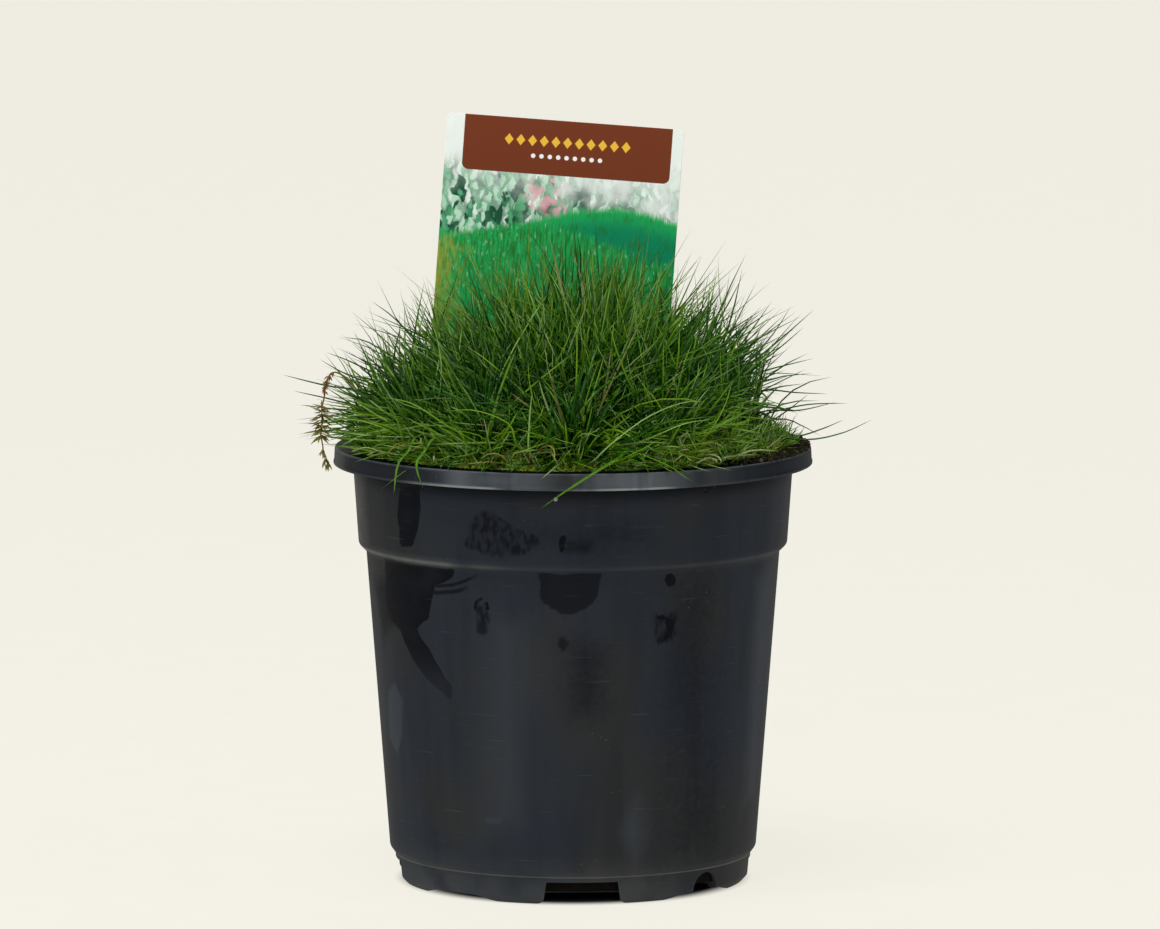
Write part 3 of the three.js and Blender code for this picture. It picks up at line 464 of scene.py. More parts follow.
class Graph:
    """Builds one node material; each method adds a node and gives back its output."""

    def __init__(self, name: str) -> None:
        """Starts a material, by its name, with one Principled shader."""
        self.material = bpy.data.materials.new(name)
        self.material.use_nodes = True
        self.tree = self.material.node_tree
        self.shader = self.tree.nodes["Principled BSDF"]

    def feed(self, socket: Socket, value: Feed) -> None:
        """Links a socket to an output, or sets its own value.

        Args:
            socket: The socket.
            value: What it takes; a colour goes in without its alpha.
        """
        if isinstance(value, Socket):
            self.tree.links.new(value, socket)
        elif isinstance(value, tuple) and socket.type == "RGBA":
            socket.default_value = (*value, 1.0)
        else:
            socket.default_value = value

    def node(self, kind: str, feeds: dict, output: int = 0, **settings: object) -> Socket:
        """Adds a node.

        Args:
            kind: Blender's name of the node.
            feeds: What goes into its inputs, by name or number.
            output: The output to give back.
            settings: The node's own settings.

        Returns:
            The output socket.
        """
        made = self.tree.nodes.new(kind)
        for key, value in settings.items():
            setattr(made, key, value)
        for key, value in feeds.items():
            self.feed(made.inputs[key], value)
        return made.outputs[output]

    def place(self) -> Socket:
        """The place on the piece, in metres."""
        return self.node("ShaderNodeTexCoord", {}, 3)

    def number(self, name: str) -> Socket:
        """A number that the mesh stores at its vertices."""
        return self.node("ShaderNodeAttribute", {}, 2, attribute_name=name)

    def vector(self, name: str) -> Socket:
        """A vector that the mesh stores at its vertices."""
        return self.node("ShaderNodeAttribute", {}, 1, attribute_name=name)

    def part(self, place: Feed, axis: int) -> Socket:
        """One coordinate of a place, by the number of its axis."""
        return self.node("ShaderNodeSeparateXYZ", {0: place}, axis)

    def stretched(self, place: Feed, scale: tuple) -> Socket:
        """Coordinates multiplied by a scale on each axis."""
        return self.node("ShaderNodeMapping", {"Vector": place, "Scale": scale})

    def math(self, operation: str, *values: Feed) -> Socket:
        """One sum of numbers, such as ADD, MAXIMUM or ABSOLUTE."""
        return self.node("ShaderNodeMath", dict(enumerate(values)), operation=operation)

    def times(self, value: Feed, factor: Feed) -> Socket:
        """A number times a factor."""
        return self.math("MULTIPLY", value, factor)

    def scaled(self, value: Feed, factor: Feed, offset: Feed) -> Socket:
        """A number times a factor, plus an offset."""
        return self.math("MULTIPLY_ADD", value, factor, offset)

    def band(self, value: Feed, low: float, high: float, most: float = 1.0) -> Socket:
        """A smooth step of a value, from 0 at low to most at high."""
        feeds = {"Value": value, "From Min": low, "From Max": high, "To Min": 0.0, "To Max": most}
        return self.node("ShaderNodeMapRange", feeds, interpolation_type="SMOOTHSTEP")

    def noise(self, place: Feed, scale: float, detail: float = 3.0, stretch: tuple | None = None) -> Socket:
        """Fractal noise from 0 to 1, of a scale in cells a metre, at a place that may be stretched first."""
        place = self.stretched(place, stretch) if stretch else place
        return self.node("ShaderNodeTexNoise", {"Vector": place, "Scale": scale, "Detail": detail})

    def cells(self, place: Feed, scale: float, output: int = 0) -> Socket:
        """The distance to the nearest of random points, in cells, or that point's colour as output 1."""
        return self.node("ShaderNodeTexVoronoi", {"Vector": place, "Scale": scale}, output)

    def mix(self, share: Feed, first: Feed, second: Feed) -> Socket:
        """The first colour, and the second where the share is 1."""
        return self.node("ShaderNodeMix", {0: share, 6: first, 7: second}, 2, data_type="RGBA")

    def bump(self, height: Feed, distance: float, strength: float = 1.0) -> Socket:
        """A fine relief of a height from 0 to 1, over a distance in metres."""
        return self.node("ShaderNodeBump", {"Height": height, "Distance": distance, "Strength": strength})

    def done(self, **finish: Feed) -> Material:
        """Feeds the shader's sockets, named with _ for a space, and gives back the material."""
        for key, value in finish.items():
            self.feed(self.shader.inputs[key.replace("_", " ")], value)
        return self.material


@dataclass(frozen=True)
class PotPlastic:
    """Anthracite nursery plastic with dark wiped stains, dust in its corners, pale patches that are mostly
    painted highlights and reflections, painted highlights on the lip and ledge, and painted shade under the
    lip.
    """

    blue: Colour = (0.021, 0.0255, 0.035)
    grey: Colour = (0.025, 0.027, 0.029)
    stain: Colour = (0.0006, 0.0012, 0.004)
    # Bluish grey of the pale patches: a few scuffs, and mostly painted highlights and reflections.
    bloom_and_sheen: Colour = (0.056, 0.066, 0.086)
    # Grey of dust, scuffs and specks, and of the ledge's painted highlight.
    dust_and_sheen: Colour = (0.15, 0.155, 0.148)
    # Pale grey of the lip's painted highlights.
    lip_highlight: Colour = (0.42, 0.45, 0.46)
    foot_line: float = 0.0099
    # Wiped lines: start and span in degrees from the front, level, rise, bend and half width in millimetres.
    wiped: Rows = ((-43.0, 17.7, 112.0, -0.83, 7.23, 0.55), (-43.0, 14.1, 109.5, -0.21, 3.81, 0.65))

    def wiped_lines(self, g: Graph, place: Feed, ragged: Feed) -> Feed:
        """Thin dark lines that bend upwards, each a parabola over the turn round the pot.

        Args:
            g: The material.
            place: The place on the pot.
            ragged: Noise that roughens the lines.

        Returns:
            The share that the lines cover.
        """
        x, y, z = (g.part(place, axis) for axis in range(3))
        turn = g.math("ARCTAN2", x, g.times(y, -1.0))
        covered = 0.0
        for start, span, level, rise, bend, half in self.wiped:
            along = g.math("DIVIDE", g.math("SUBTRACT", turn, math.radians(start)), math.radians(span))
            path = g.scaled(along, g.scaled(along, bend, rise), level)
            path = g.math("ADD", ragged, g.math("SUBTRACT", path, 0.5))
            away = g.math("ABSOLUTE", g.scaled(z, -1000.0, path))
            ends = g.times(g.band(along, -0.03, 0.05), g.band(along, 1.0, 0.72))
            line = g.times(g.band(away, half + 0.35, half - 0.25, 0.78), ends)
            covered = g.math("MAXIMUM", covered, line)
        return covered

    def material(self) -> Material:
        """The finish.

        The mesh gives "stain", millimetres inside a stain's edge, "strength", how dark a stain may be,
        "mottle", "smudge" and a share of pale patches that are mostly painted highlights and reflections,
        shares that are 0 at a mark's edge, a share of dust with the ledge's painted highlight, a share of
        the lip's painted highlights, and a share of painted shade under the lip and on the lip's sides.

        Returns:
            The material.
        """
        g = Graph("pot_plastic")
        place = g.place()
        broad = g.noise(place, 22.0, 2.0)
        fine = g.noise(place, 420.0, 4.0)
        ragged = g.noise(place, 190.0, 4.0)
        wander = g.scaled(ragged, 1.5, -0.75)
        faded = g.scaled(g.noise(place, 75.0, 3.0), 0.8, 0.52)
        stain = g.band(g.math("ADD", g.number("stain"), wander), -0.18, 0.24)
        stain = g.times(stain, g.math("MINIMUM", faded, g.number("strength")))
        smudge = g.band(g.scaled(fine, 0.5, g.number("smudge")), 0.1, 1.1, 0.72)
        strokes = g.band(g.noise(place, 640.0, 5.0, (1.0, 1.0, 0.45)), 0.4, 0.62)
        strokes = g.scaled(strokes, 0.6, 0.36)
        mottle = g.band(g.scaled(ragged, 3.0, g.number("mottle")), 1.0, 3.2, 0.84)
        # Pale patches, mostly painted highlights and reflections.
        bloom_and_sheen = g.band(g.scaled(broad, 0.6, g.number("bloom_and_sheen")), 0.2, 1.3, 0.42)
        streak = g.noise(place, 1.0, 3.0, (95.0, 95.0, 9.0))
        colour = g.mix(g.band(broad, 0.4, 0.62), self.blue, self.grey)
        colour = g.mix(g.band(streak, 0.58, 0.36, 0.16), colour, self.stain)
        colour = g.mix(bloom_and_sheen, colour, self.bloom_and_sheen)
        dark = g.math("MAXIMUM", stain, g.times(strokes, mottle))
        # Painted shade under the lip and on the lip's sides darkens the plastic towards the stain colour.
        dark = g.math("MAXIMUM", dark, g.number("painted_shade"))
        dark = g.math("MAXIMUM", dark, self.wiped_lines(g, place, ragged))
        colour = g.mix(g.math("MAXIMUM", dark, smudge), colour, self.stain)
        scuff = g.noise(place, 1.0, 2.0, (60.0, 60.0, 1400.0))
        colour = g.mix(g.band(scuff, 0.66, 0.8, 0.16), colour, self.dust_and_sheen)
        speck = g.band(g.cells(place, 380.0), 0.12, 0.05, 0.5)
        speck = g.times(speck, g.band(g.noise(place, 46.0), 0.56, 0.7))
        rubbed = g.band(g.noise(place, 80.0, 2.0), 0.05, 0.58)
        # Dust on the foot and its step, and the ledge's painted highlight line.
        dust_and_sheen = g.times(g.number("dust_and_sheen"), rubbed)
        from_line = g.math("ABSOLUTE", g.math("SUBTRACT", g.part(place, 2), self.foot_line))
        line = g.times(g.band(from_line, 0.00042, 0.00012), g.scaled(rubbed, 0.42, 0.06))
        dust_and_sheen = g.math("MAXIMUM", dust_and_sheen, line)
        colour = g.mix(g.math("MAXIMUM", speck, dust_and_sheen), colour, self.dust_and_sheen)
        # Painted highlights along the lip's edges and over the middle of its face.
        lip_highlight = g.times(g.number("lip_highlight"), g.band(streak, 0.18, 0.52))
        colour = g.mix(lip_highlight, colour, self.lip_highlight)
        relief = g.scaled(scuff, 0.4, fine)
        normal = g.bump(relief, 0.0001, 0.5)
        gloss = {"Coat_Weight": 0.12, "Coat_Roughness": 0.26, "Coat_Normal": g.bump(broad, 0.0006, 0.4)}
        return g.done(Base_Color=colour, Roughness=0.5, Normal=normal, Specular_IOR_Level=0.0, **gloss)


@dataclass(frozen=True)
class CompostFinish:
    """Dark brown peat, with redder and paler crumbs, painted near black low down as shade."""

    dark: Colour = (0.01, 0.008, 0.005)
    bottom_shade: Colour = (0.0015, 0.0012, 0.0012)
    brown: Colour = (0.036, 0.029, 0.012)
    pale: Colour = (0.12, 0.11, 0.06)

    def material(self) -> Material:
        """The finish; the mesh gives "tone", which picks a crumb's colour."""
        g = Graph("peat_compost")
        place = g.place()
        crumb = g.noise(place, 420.0, 5.0)
        colour = g.mix(g.band(crumb, 0.42, 0.66), self.dark, self.brown)
        colour = g.mix(g.band(g.number("tone"), 0.96, 0.98, 0.8), colour, self.pale)
        height = g.part(place, 2)
        # Painted shade: near black low in the pot, where the compost shows through the foot's openings.
        colour = g.mix(g.band(height, 0.024, 0.013, 0.94), colour, self.bottom_shade)
        return g.done(Base_Color=colour, Roughness=0.95, Normal=g.bump(crumb, 0.0008), Specular_IOR_Level=0.1)


@dataclass(frozen=True)
class LeafFinish:
    """A needle leaf: painted darker towards its root as shade, green along its length, a few blades painted
    pale as glints, some blades dry from the tip.
    """

    name: str = "fescue_leaf"
    deep: Colour = (0.002, 0.028, 0.002)
    middle: Colour = (0.02, 0.118, 0.003)
    bright: Colour = (0.17, 0.35, 0.01)
    # Pale grey-green of the blades painted as glints: a painted reflection.
    glint: Colour = (0.28, 0.45, 0.15)
    # Dark olive painted towards the root as shade.
    shaded_base: Colour = (0.03, 0.055, 0.008)
    tip: Colour = (0.032, 0.056, 0.004)
    dry: Colour = (0.25, 0.235, 0.075)

    def material(self) -> Material:
        """The finish; the mesh gives "along", "tone" and "dry" for each blade."""
        g = Graph(self.name)
        along = g.number("along")
        fibre = g.noise(g.place(), 900.0, 2.0, (1.0, 1.0, 0.25))
        tone = g.math("ADD", g.number("tone"), g.scaled(fibre, 0.3, -0.15))
        tone = g.scaled(along, 0.12, tone)
        colour = g.mix(g.band(tone, 0.0, 0.5), self.deep, self.middle)
        colour = g.mix(g.band(tone, 0.45, 0.9), colour, self.bright)
        # Blades of tone above 1 are painted pale as glints, a painted reflection.
        colour = g.mix(g.band(tone, 0.95, 1.15, 0.85), colour, self.glint)
        # Painted shade: darker towards the root, deep inside the tussock.
        colour = g.mix(g.band(along, 0.45, 0.05, 0.75), colour, self.shaded_base)
        colour = g.mix(g.band(along, 0.84, 1.0, 0.45), colour, self.tip)
        dry = g.scaled(along, 0.5, g.number("dry"))
        colour = g.mix(g.band(dry, 0.75, 1.05, 0.92), colour, self.dry)
        relief = g.bump(fibre, 0.00008, 0.5)
        return g.done(Base_Color=colour, Roughness=0.38, Normal=relief, Specular_IOR_Level=0.26)


@dataclass(frozen=True)
class StrawFinish:
    """Bleached dead leaf, from pale straw to golden brown."""

    pale: Colour = (0.43, 0.46, 0.2)
    brown: Colour = (0.3, 0.23, 0.036)

    def material(self) -> Material:
        """The finish; the mesh gives "tone" for each leaf."""
        g = Graph("dead_straw")
        fibre = g.noise(g.place(), 700.0, 3.0)
        share = g.math("ADD", g.number("tone"), g.scaled(fibre, 0.5, -0.25))
        colour = g.mix(g.band(share, 0.1, 0.9), self.pale, self.brown)
        return g.done(Base_Color=colour, Roughness=0.7, Normal=g.bump(fibre, 0.0001))


@dataclass(frozen=True)
class ShootFinish:
    """The weed's stem and leaves: olive green that turns brown-red towards the ends."""

    olive: Colour = (0.19, 0.19, 0.018)
    brown: Colour = (0.2, 0.085, 0.02)

    def material(self) -> Material:
        """The finish; the mesh gives "tone", from olive at 0 to brown at 1."""
        g = Graph("weed_leaf")
        blot = g.noise(g.place(), 520.0, 3.0)
        share = g.math("ADD", g.number("tone"), g.scaled(blot, 1.2, -0.6))
        colour = g.mix(g.band(share, 0.2, 0.8), self.olive, self.brown)
        return g.done(Base_Color=colour, Roughness=0.6, Normal=g.bump(blot, 0.0001))


@dataclass(frozen=True)
class WaterFinish:
    """Clear water."""

    def material(self) -> Material:
        """The finish."""
        g = Graph("dew_water")
        return g.done(Base_Color=(0.95, 0.98, 1.0), Roughness=0.12, IOR=1.33, Transmission_Weight=0.85)


@dataclass(frozen=True)
class LabelPrint:
    """A printed card: a brown heading with a row of lozenges and dots, over a garden of green mounds.

    Places on the card are in centimetres, across from its left edge and down from its top edge.
    """

    heading: Colour = (0.18, 0.04, 0.014)
    yellow: Colour = (0.9, 0.52, 0.05)
    white: Colour = (0.95, 0.95, 0.92)
    sky: Colour = (0.93, 0.98, 0.94)
    mint: Colour = (0.52, 0.8, 0.6)
    sage: Colour = (0.1, 0.42, 0.2)
    shade: Colour = (0.012, 0.085, 0.045)
    far_mound: Colour = (0.002, 0.255, 0.11)
    near_mound: Colour = (0.014, 0.42, 0.1)
    stroke: Colour = (0.02, 0.15, 0.012)
    gold: Colour = (0.48, 0.36, 0.02)
    pink: Colour = (0.74, 0.3, 0.36)
    cluster: tuple[float, float] = (3.7, 2.75)
    heading_middle: tuple[float, float] = (4.37, 0.49)
    heading_half: tuple[float, float] = (3.74, 1.49)
    heading_corner: float = 0.25
    lozenge_row: tuple[float, float, float] = (0.78, 0.42, 2.35)
    dot_row: tuple[float, float, float] = (1.32, 0.3, 1.3)
    dot_radius: float = 0.08
    lozenge_half: float = 0.16
    lozenge_squash: float = 0.8
    blur: float = 0.01
    leaf_cells: float = 3.4
    leaf_stretch: tuple[float, float, float] = (2.1, 0.95, 1.0)

    def box(self, g: Graph, x: Feed, y: Feed) -> Socket:
        """The heading's share of places: inside a box with round corners, by the distance to it.

        Args:
            g: The material.
            x, y: The place across and down.

        Returns:
            1 inside the heading, and 0 outside.
        """
        over = []
        for value, middle, half in zip((x, y), self.heading_middle, self.heading_half):
            offset = g.math("ABSOLUTE", g.math("SUBTRACT", value, middle))
            over.append(g.math("MAXIMUM", g.math("SUBTRACT", offset, half - self.heading_corner), 0.0))
        squares = g.scaled(over[0], over[0], g.times(over[1], over[1]))
        return g.band(g.math("SQRT", squares), self.heading_corner, self.heading_corner - 2 * self.blur)

    def row(self, g: Graph, x: Feed, y: Feed, row: tuple, is_round: bool) -> Socket:
        """A row of small figures along the heading.

        Args:
            g: The material.
            x, y: The place across and down.
            row: The row's place down, the step between figures, and half the row's length.
            is_round: Dots if true, and otherwise lozenges.

        Returns:
            The share that the figures cover.
        """
        level, step, reach = row
        offset = g.math("SUBTRACT", x, self.heading_middle[0])
        across = g.math("ABSOLUTE", g.math("WRAP", offset, step / 2, -step / 2))
        down = g.math("ABSOLUTE", g.math("SUBTRACT", y, level))
        if is_round:
            squares = g.scaled(across, across, g.times(down, down))
            size, half = g.math("SQRT", squares), self.dot_radius
        else:
            size, half = g.scaled(down, self.lozenge_squash, across), self.lozenge_half
        figure = g.band(size, half + self.blur, half - self.blur)
        return g.times(figure, g.band(g.math("ABSOLUTE", offset), reach + self.blur, reach))

    def crest(self, g: Graph, x: Feed, rise: float, level: float, phase: float) -> Socket:
        """The upper edge of a mound: a wave across the card round a level."""
        wave = g.math("SINE", g.scaled(x, 0.55, phase))
        return g.scaled(wave, rise, level)

    def leafage(self, g: Graph, spot: Feed, shift: float, turn: float) -> tuple[Socket, Socket]:
        """A layer of leaves: long cells that lean one way, each of its own tone.

        Args:
            g: The material.
            spot: The place on the card.
            shift: Moves the pattern across, so that layers differ.
            turn: How far the leaves lean, in radians.

        Returns:
            The layer's colour, and the distance from each leaf's middle in cells.
        """
        feeds = {0: spot, 1: (shift, 0, 0), 2: (0, 0, turn), 3: self.leaf_stretch}
        turned = g.node("ShaderNodeMapping", feeds)
        cell, away = g.cells(turned, self.leaf_cells, 1), g.cells(turned, self.leaf_cells)
        tone = g.part(cell, 0)
        colour = g.mix(g.band(tone, 0.14, 0.26), self.shade, self.sage)
        colour = g.mix(g.band(tone, 0.46, 0.64), colour, self.mint)
        colour = g.mix(g.band(tone, 0.8, 0.96), colour, self.sky)
        return g.mix(g.band(away, 0.34, 0.8, 0.6), colour, self.shade), away

    def border(self, g: Graph, spot: Feed, x: Feed, y: Feed) -> Socket:
        """Leafy planting: two layers of leaves under a haze that thickens upwards, with blossoms.

        Args:
            g: The material.
            spot: The place on the card.
            x, y: The place across and down.

        Returns:
            The colour.
        """
        bend = g.node("ShaderNodeTexNoise", {"Vector": spot, "Scale": 2.1, "Detail": 3.0}, 1)
        bent = g.node("ShaderNodeMix", {0: 0.34, 4: spot, 5: bend}, 1, data_type="VECTOR")
        under, _ = self.leafage(g, bent, 0.0, 1.05)
        over, away = self.leafage(g, bent, 7.3, -0.95)
        colour = g.mix(g.band(away, 0.44, 0.26), under, over)
        offset = g.node("ShaderNodeVectorMath", {0: spot, 1: (*self.cluster, 0.0)}, 1, operation="DISTANCE")
        cluster = g.band(g.scaled(g.noise(spot, 2.0), 1.6, offset), 1.75, 1.25)
        blossom = g.times(g.band(g.cells(bent, 4.2), 0.62, 0.3, 0.92), cluster)
        colour = g.mix(blossom, colour, self.pink)
        drift = g.scaled(x, 0.13, g.times(y, -0.56))
        haze = g.scaled(g.noise(spot, 1.1, 4.0), 2.4, drift)
        haze = g.math("MAXIMUM", g.band(haze, -0.55, 1.3, 0.85), g.band(y, 2.5, 1.2, 0.95))
        return g.mix(haze, colour, self.sky)

    def garden(self, g: Graph, spot: Feed, x: Feed, y: Feed) -> Socket:
        """The picture: sky that fades into a leafy border, and two grass mounds in front of it.

        Args:
            g: The material.
            spot: The place on the card.
            x, y: The place across and down.

        Returns:
            The colour.
        """
        strokes = g.noise(spot, 1.0, 4.0, (13.0, 1.6, 1.0))
        picture = self.border(g, spot, x, y)
        far_edge = g.math("SUBTRACT", y, self.crest(g, x, 0.62, 3.62, -5.05))
        fine = g.noise(spot, 1.0, 4.0, (22.0, 2.0, 1.0))
        far_edge = g.scaled(fine, 0.4, far_edge)
        far = g.mix(g.band(far_edge, 0.2, 1.1), self.near_mound, self.far_mound)
        patches = g.noise(spot, 1.4, 4.0, (5.0, 1.6, 1.0))
        far = g.mix(g.band(patches, 0.5, 0.72, 0.55), far, self.stroke)
        picture = g.mix(g.band(far_edge, 0.02, 0.36), picture, far)
        near_edge = g.math("SUBTRACT", y, self.crest(g, x, 0.6, 4.38, -3.4))
        near_edge = g.scaled(strokes, 0.9, near_edge)
        near = g.mix(g.band(strokes, 0.62, 0.36, 0.75), self.near_mound, self.stroke)
        patches = g.noise(spot, 1.3, 4.0, (7.0, 2.6, 1.0))
        near = g.mix(g.band(patches, 0.56, 0.76, 0.5), near, self.mint)
        corner = g.scaled(x, -0.34, g.noise(spot, 2.6, 4.0, (2.2, 1.0, 1.0)))
        near = g.mix(g.band(corner, 0.1, 0.66, 0.6), near, self.gold)
        return g.mix(g.band(near_edge, 0.22, 0.62), picture, near)

    def material(self) -> Material:
        """The finish; the mesh gives "card", the place on the card, and "printed", which is 1 in front."""
        g = Graph("label_print")
        spot = g.vector("card")
        x, y = (g.part(spot, axis) for axis in (0, 1))
        heading = g.mix(self.row(g, x, y, self.lozenge_row, False), self.heading, self.yellow)
        heading = g.mix(self.row(g, x, y, self.dot_row, True), heading, self.white)
        front = g.mix(self.box(g, x, y), self.garden(g, spot, x, y), heading)
        colour = g.mix(g.band(g.number("printed"), 0.6, 0.9), self.white, front)
        return g.done(Base_Color=colour, Roughness=0.34, Specular_IOR_Level=0.12)


# The plant's parts


@dataclass(frozen=True)
class Mark:
    """A mark on the pot's outside, by its outline's corners in degrees from the front and millimetres."""

    corners: tuple[tuple[float, float], ...]
    reach: float = 1.0

    def field(self, degrees: Array, radius: float, height: Array) -> Array:
        """How far inside the outline each place lies, in millimetres, divided by the mark's reach.

        The distance is to the nearest edge of the outline. It is positive where a level line from the
        place crosses the outline an odd number of times.

        Args:
            degrees: Angles from the front, within half a turn of the mark.
            radius: The pot's radius in millimetres, by which degrees become millimetres.
            height: Heights in millimetres.

        Returns:
            The field, negative outside the outline.
        """
        scale = np.array([math.radians(radius), 1.0])
        start = np.array(self.corners) * scale
        step = np.roll(start, -1, axis=0) - start
        away = (np.stack([degrees, height], axis=-1) * scale)[:, None] - start
        share = np.clip((away * step).sum(-1) / (step * step).sum(-1), 0.0, 1.0)
        distance = np.linalg.norm(away - share[..., None] * step, axis=-1).min(axis=1)
        spans = (away[..., 1] < 0) != (away[..., 1] - step[:, 1] < 0)
        crossing = away[..., 1] / np.where(step[:, 1] == 0, 1e-9, step[:, 1]) * step[:, 0]
        inside = (spans & (away[..., 0] < crossing)).sum(axis=1) % 2 == 1
        return np.where(inside, distance, -distance) / self.reach


@dataclass
class NurseryPot:
    """The thin moulded pot: foot ring, tapered wall, ledge, collar and down-turned lip."""

    height: float = 0.155
    rim_radius: float = 0.085
    lip_drop: float = 0.006
    wall: float = 0.0012
    collar_top: float = 0.0784
    collar_foot: tuple[float, float] = (0.0761, 0.1206)
    body_top: tuple[float, float] = (0.0734, 0.118)
    body_foot: tuple[float, float] = (0.0652, 0.0122)
    ring_top: tuple[float, float] = (0.0633, 0.0096)
    ring_foot: tuple[float, float] = (0.0628, 0.0024)
    standing: tuple[float, float] = (0.0592, 0.0606)
    floor: tuple[float, float] = (0.003, 0.0042)
    columns: int = 400
    outer_step: float = 0.0017
    inner_step: float = 0.009
    first_notch: float = 3.0
    notch_half: float = 0.0125
    notch_height: float = 0.0081
    notch_flare: float = 0.0036
    arch_half: float = 0.017
    arch_height: float = 0.002
    drain_half: float = 0.006
    drain_sill: float = 0.0015
    drain_shoulder: float = 0.0025
    cut_radii: tuple[float, float] = (0.053, 0.07)
    floor_hole_radius: float = 0.004
    floor_hole_ring: float = 0.029
    seams: tuple[float, ...] = (-11.7, 20.0, 37.7, 118.0, 201.0, 290.0)
    # Millimetre levels of the dusty step and of the ledge's painted highlight line, and of the painted
    # highlight lines along the lip's foot and top.
    pale_line_levels: tuple[float, float] = (10.3, 120.3)
    lip_highlight_levels: tuple[float, float] = (149.4, 154.9)
    # Brighter and duller patches of painted highlight on the lip's face:
    # middle and spread in degrees, and how much paler.
    lip_sheen_patches: Rows = ((-28.0, 4.0, 0.13), (-2.0, 7.0, -0.085), (16.5, 5.0, 0.06), (31.0, 4.0, -0.07))
    # Sharp dark stains: the collar's smears and blots, then the body's from left to right, then the back's.
    stains: tuple[Mark, ...] = (
        Mark(((-51.1, 146.5), (-43.4, 147.2), (-44.5, 135.2), (-46.7, 125), (-51.6, 125.1), (-52.4, 136))),
        Mark(((-3.6, 132.4), (-1.6, 132.8), (-1.6, 126.1), (-3.2, 126.4))),
        Mark(((36, 147.4), (37.6, 147.2), (37.6, 145.2), (36.2, 145.2))),
        Mark(((-64.5, 118.8), (-48, 118.8), (-34.3, 118.4), (-34.8, 115.4), (-41, 112.4), (-44, 100.5),
              (-49.8, 95.5), (-47, 90.5), (-40.8, 82.5), (-37.2, 77), (-38.4, 71.5), (-47.8, 79.5),
              (-54.7, 88), (-58.5, 93.5), (-66.5, 98))),
        Mark(((-29.4, 104), (-28.8, 107), (-26.2, 109.4), (-23.4, 108), (-22.6, 104.5), (-24.2, 105),
              (-24.8, 107), (-26.2, 107.4), (-27.4, 106), (-27.8, 103))),
        Mark(((26.2, 116.9), (28.1, 117.7), (30, 116.3), (29.7, 113.2), (27.5, 112.8))),
        Mark(((22.8, 102.6), (25.5, 103.5), (29.9, 100.5), (29.3, 95.6), (25, 92.8), (27, 97.6),
              (26, 101.2))),
        Mark(((122, 118.6), (133, 118.9), (144, 118.4), (146.5, 113.5), (144, 108), (140.5, 103.5),
              (137.5, 97), (136, 88.5), (134, 84), (132.6, 90), (131.5, 97.5), (128, 103),
              (124, 108), (121.5, 113))),
        Mark(((196, 107.5), (199, 108.8), (201.5, 106.5), (201, 103), (198.5, 101), (196, 103))),
    )
    # Patches of dark strokes, then soft dark marks, then soft pale ones: a few scuffs and a streak, painted
    # highlights and reflections on the front of the body and on the lip's face, and like pale patches round
    # the back.
    mottles: tuple[Mark, ...] = (
        Mark(((-28.4, 134.5), (-27.6, 138.6), (-24, 140.6), (-20.2, 140.6), (-17, 136.4), (-8.6, 133.6),
              (-8, 129), (-11, 124.8), (-23.6, 124.6), (-31, 127))),
        Mark(((-29, 106.5), (-24, 107.5), (-22.6, 101), (-24.6, 96.4), (-27.6, 99))),
        Mark(((20.4, 104.6), (31, 104.4), (31.8, 94.2), (24, 91.8))),
        Mark(((154, 140), (162, 144), (172, 142), (178, 134), (173, 127), (160, 126)), 2),
        Mark(((228, 108), (236, 111), (244, 104), (245, 88), (239, 78), (231, 86)), 2),
    )
    smudges: tuple[Mark, ...] = (
        Mark(((-9, 118.8), (8.3, 118.8), (7.4, 114.1), (6.5, 110.4), (5.1, 107.6), (3.2, 105.8), (0.2, 104.9),
              (-3.9, 105.2), (-7, 106.8), (-8.9, 109.6), (-9.4, 113)), 0.5),
        Mark(((-27.8, 101.5), (-24.4, 102), (-23.2, 98), (-25.3, 95.6), (-28.4, 96.6)), 1.6),
        Mark(((-4.4, 95.2), (-3, 96.9), (-1.3, 95.2), (-1.3, 92.3), (-3, 90.9), (-4.4, 92.3)), 1),
        Mark(((-4.2, 132.7), (6.3, 132.9), (6, 125), (-3, 124.8)), 5),
        Mark(((-16, 140), (22, 141), (26, 124), (-18, 124)), 24),
        Mark(((-5, 98), (5, 100), (12, 94), (13, 70), (6, 62), (-4, 64)), 20),
        Mark(((20, 124), (50, 124), (58, 12), (26, 6)), 48),
        Mark(((-78, 112), (-62, 116), (-58, 96), (-72, 84)), 8),
        Mark(((150, 80), (176, 84), (170, 46), (156, 40)), 16),
        Mark(((186, 118.8), (202, 118.8), (201.4, 113), (198, 108.6), (193, 107.4), (188.6, 110),
              (186.2, 114)), 1.2),
        Mark(((94, 58), (101, 62), (107, 54), (106, 40), (100, 34), (95, 44)), 7),
    )
    # Pale patches, mostly painted highlights and reflections.
    blooms_and_sheens: tuple[Mark, ...] = (
        Mark(((-70.6, 70.5), (-63.6, 76), (-59.4, 68.7), (-60.3, 56.1), (-65.5, 46.3), (-72.5, 52.2)), 2.4),
        Mark(((-30, 112), (-6, 108), (-8, 20), (-34, 18)), 30),
        Mark(((19, 45), (25.6, 27), (19.6, 8), (12.6, 26)), 9),
        Mark(((3.1, 137), (24.6, 135.8), (24.6, 134.1), (3.1, 134.9)), 1),
        Mark(((-27.8, 30.2), (-21.7, 30.6), (-21.7, 28.8), (-27.8, 28.3)), 0.9),
        Mark(((2, 155.2), (19, 155.2), (19, 149.6), (2, 149.6)), 1.4),
        Mark(((-24, 155.2), (-12, 155.2), (-12, 149.6), (-24, 149.6)), 2.6),
        Mark(((58, 116), (78, 118), (78, 30), (62, 24)), 12),
        Mark(((120, 80), (146, 76), (140, 20), (118, 30)), 14),
        Mark(((206, 90), (226, 84), (230, 30), (204, 36)), 14),
    )

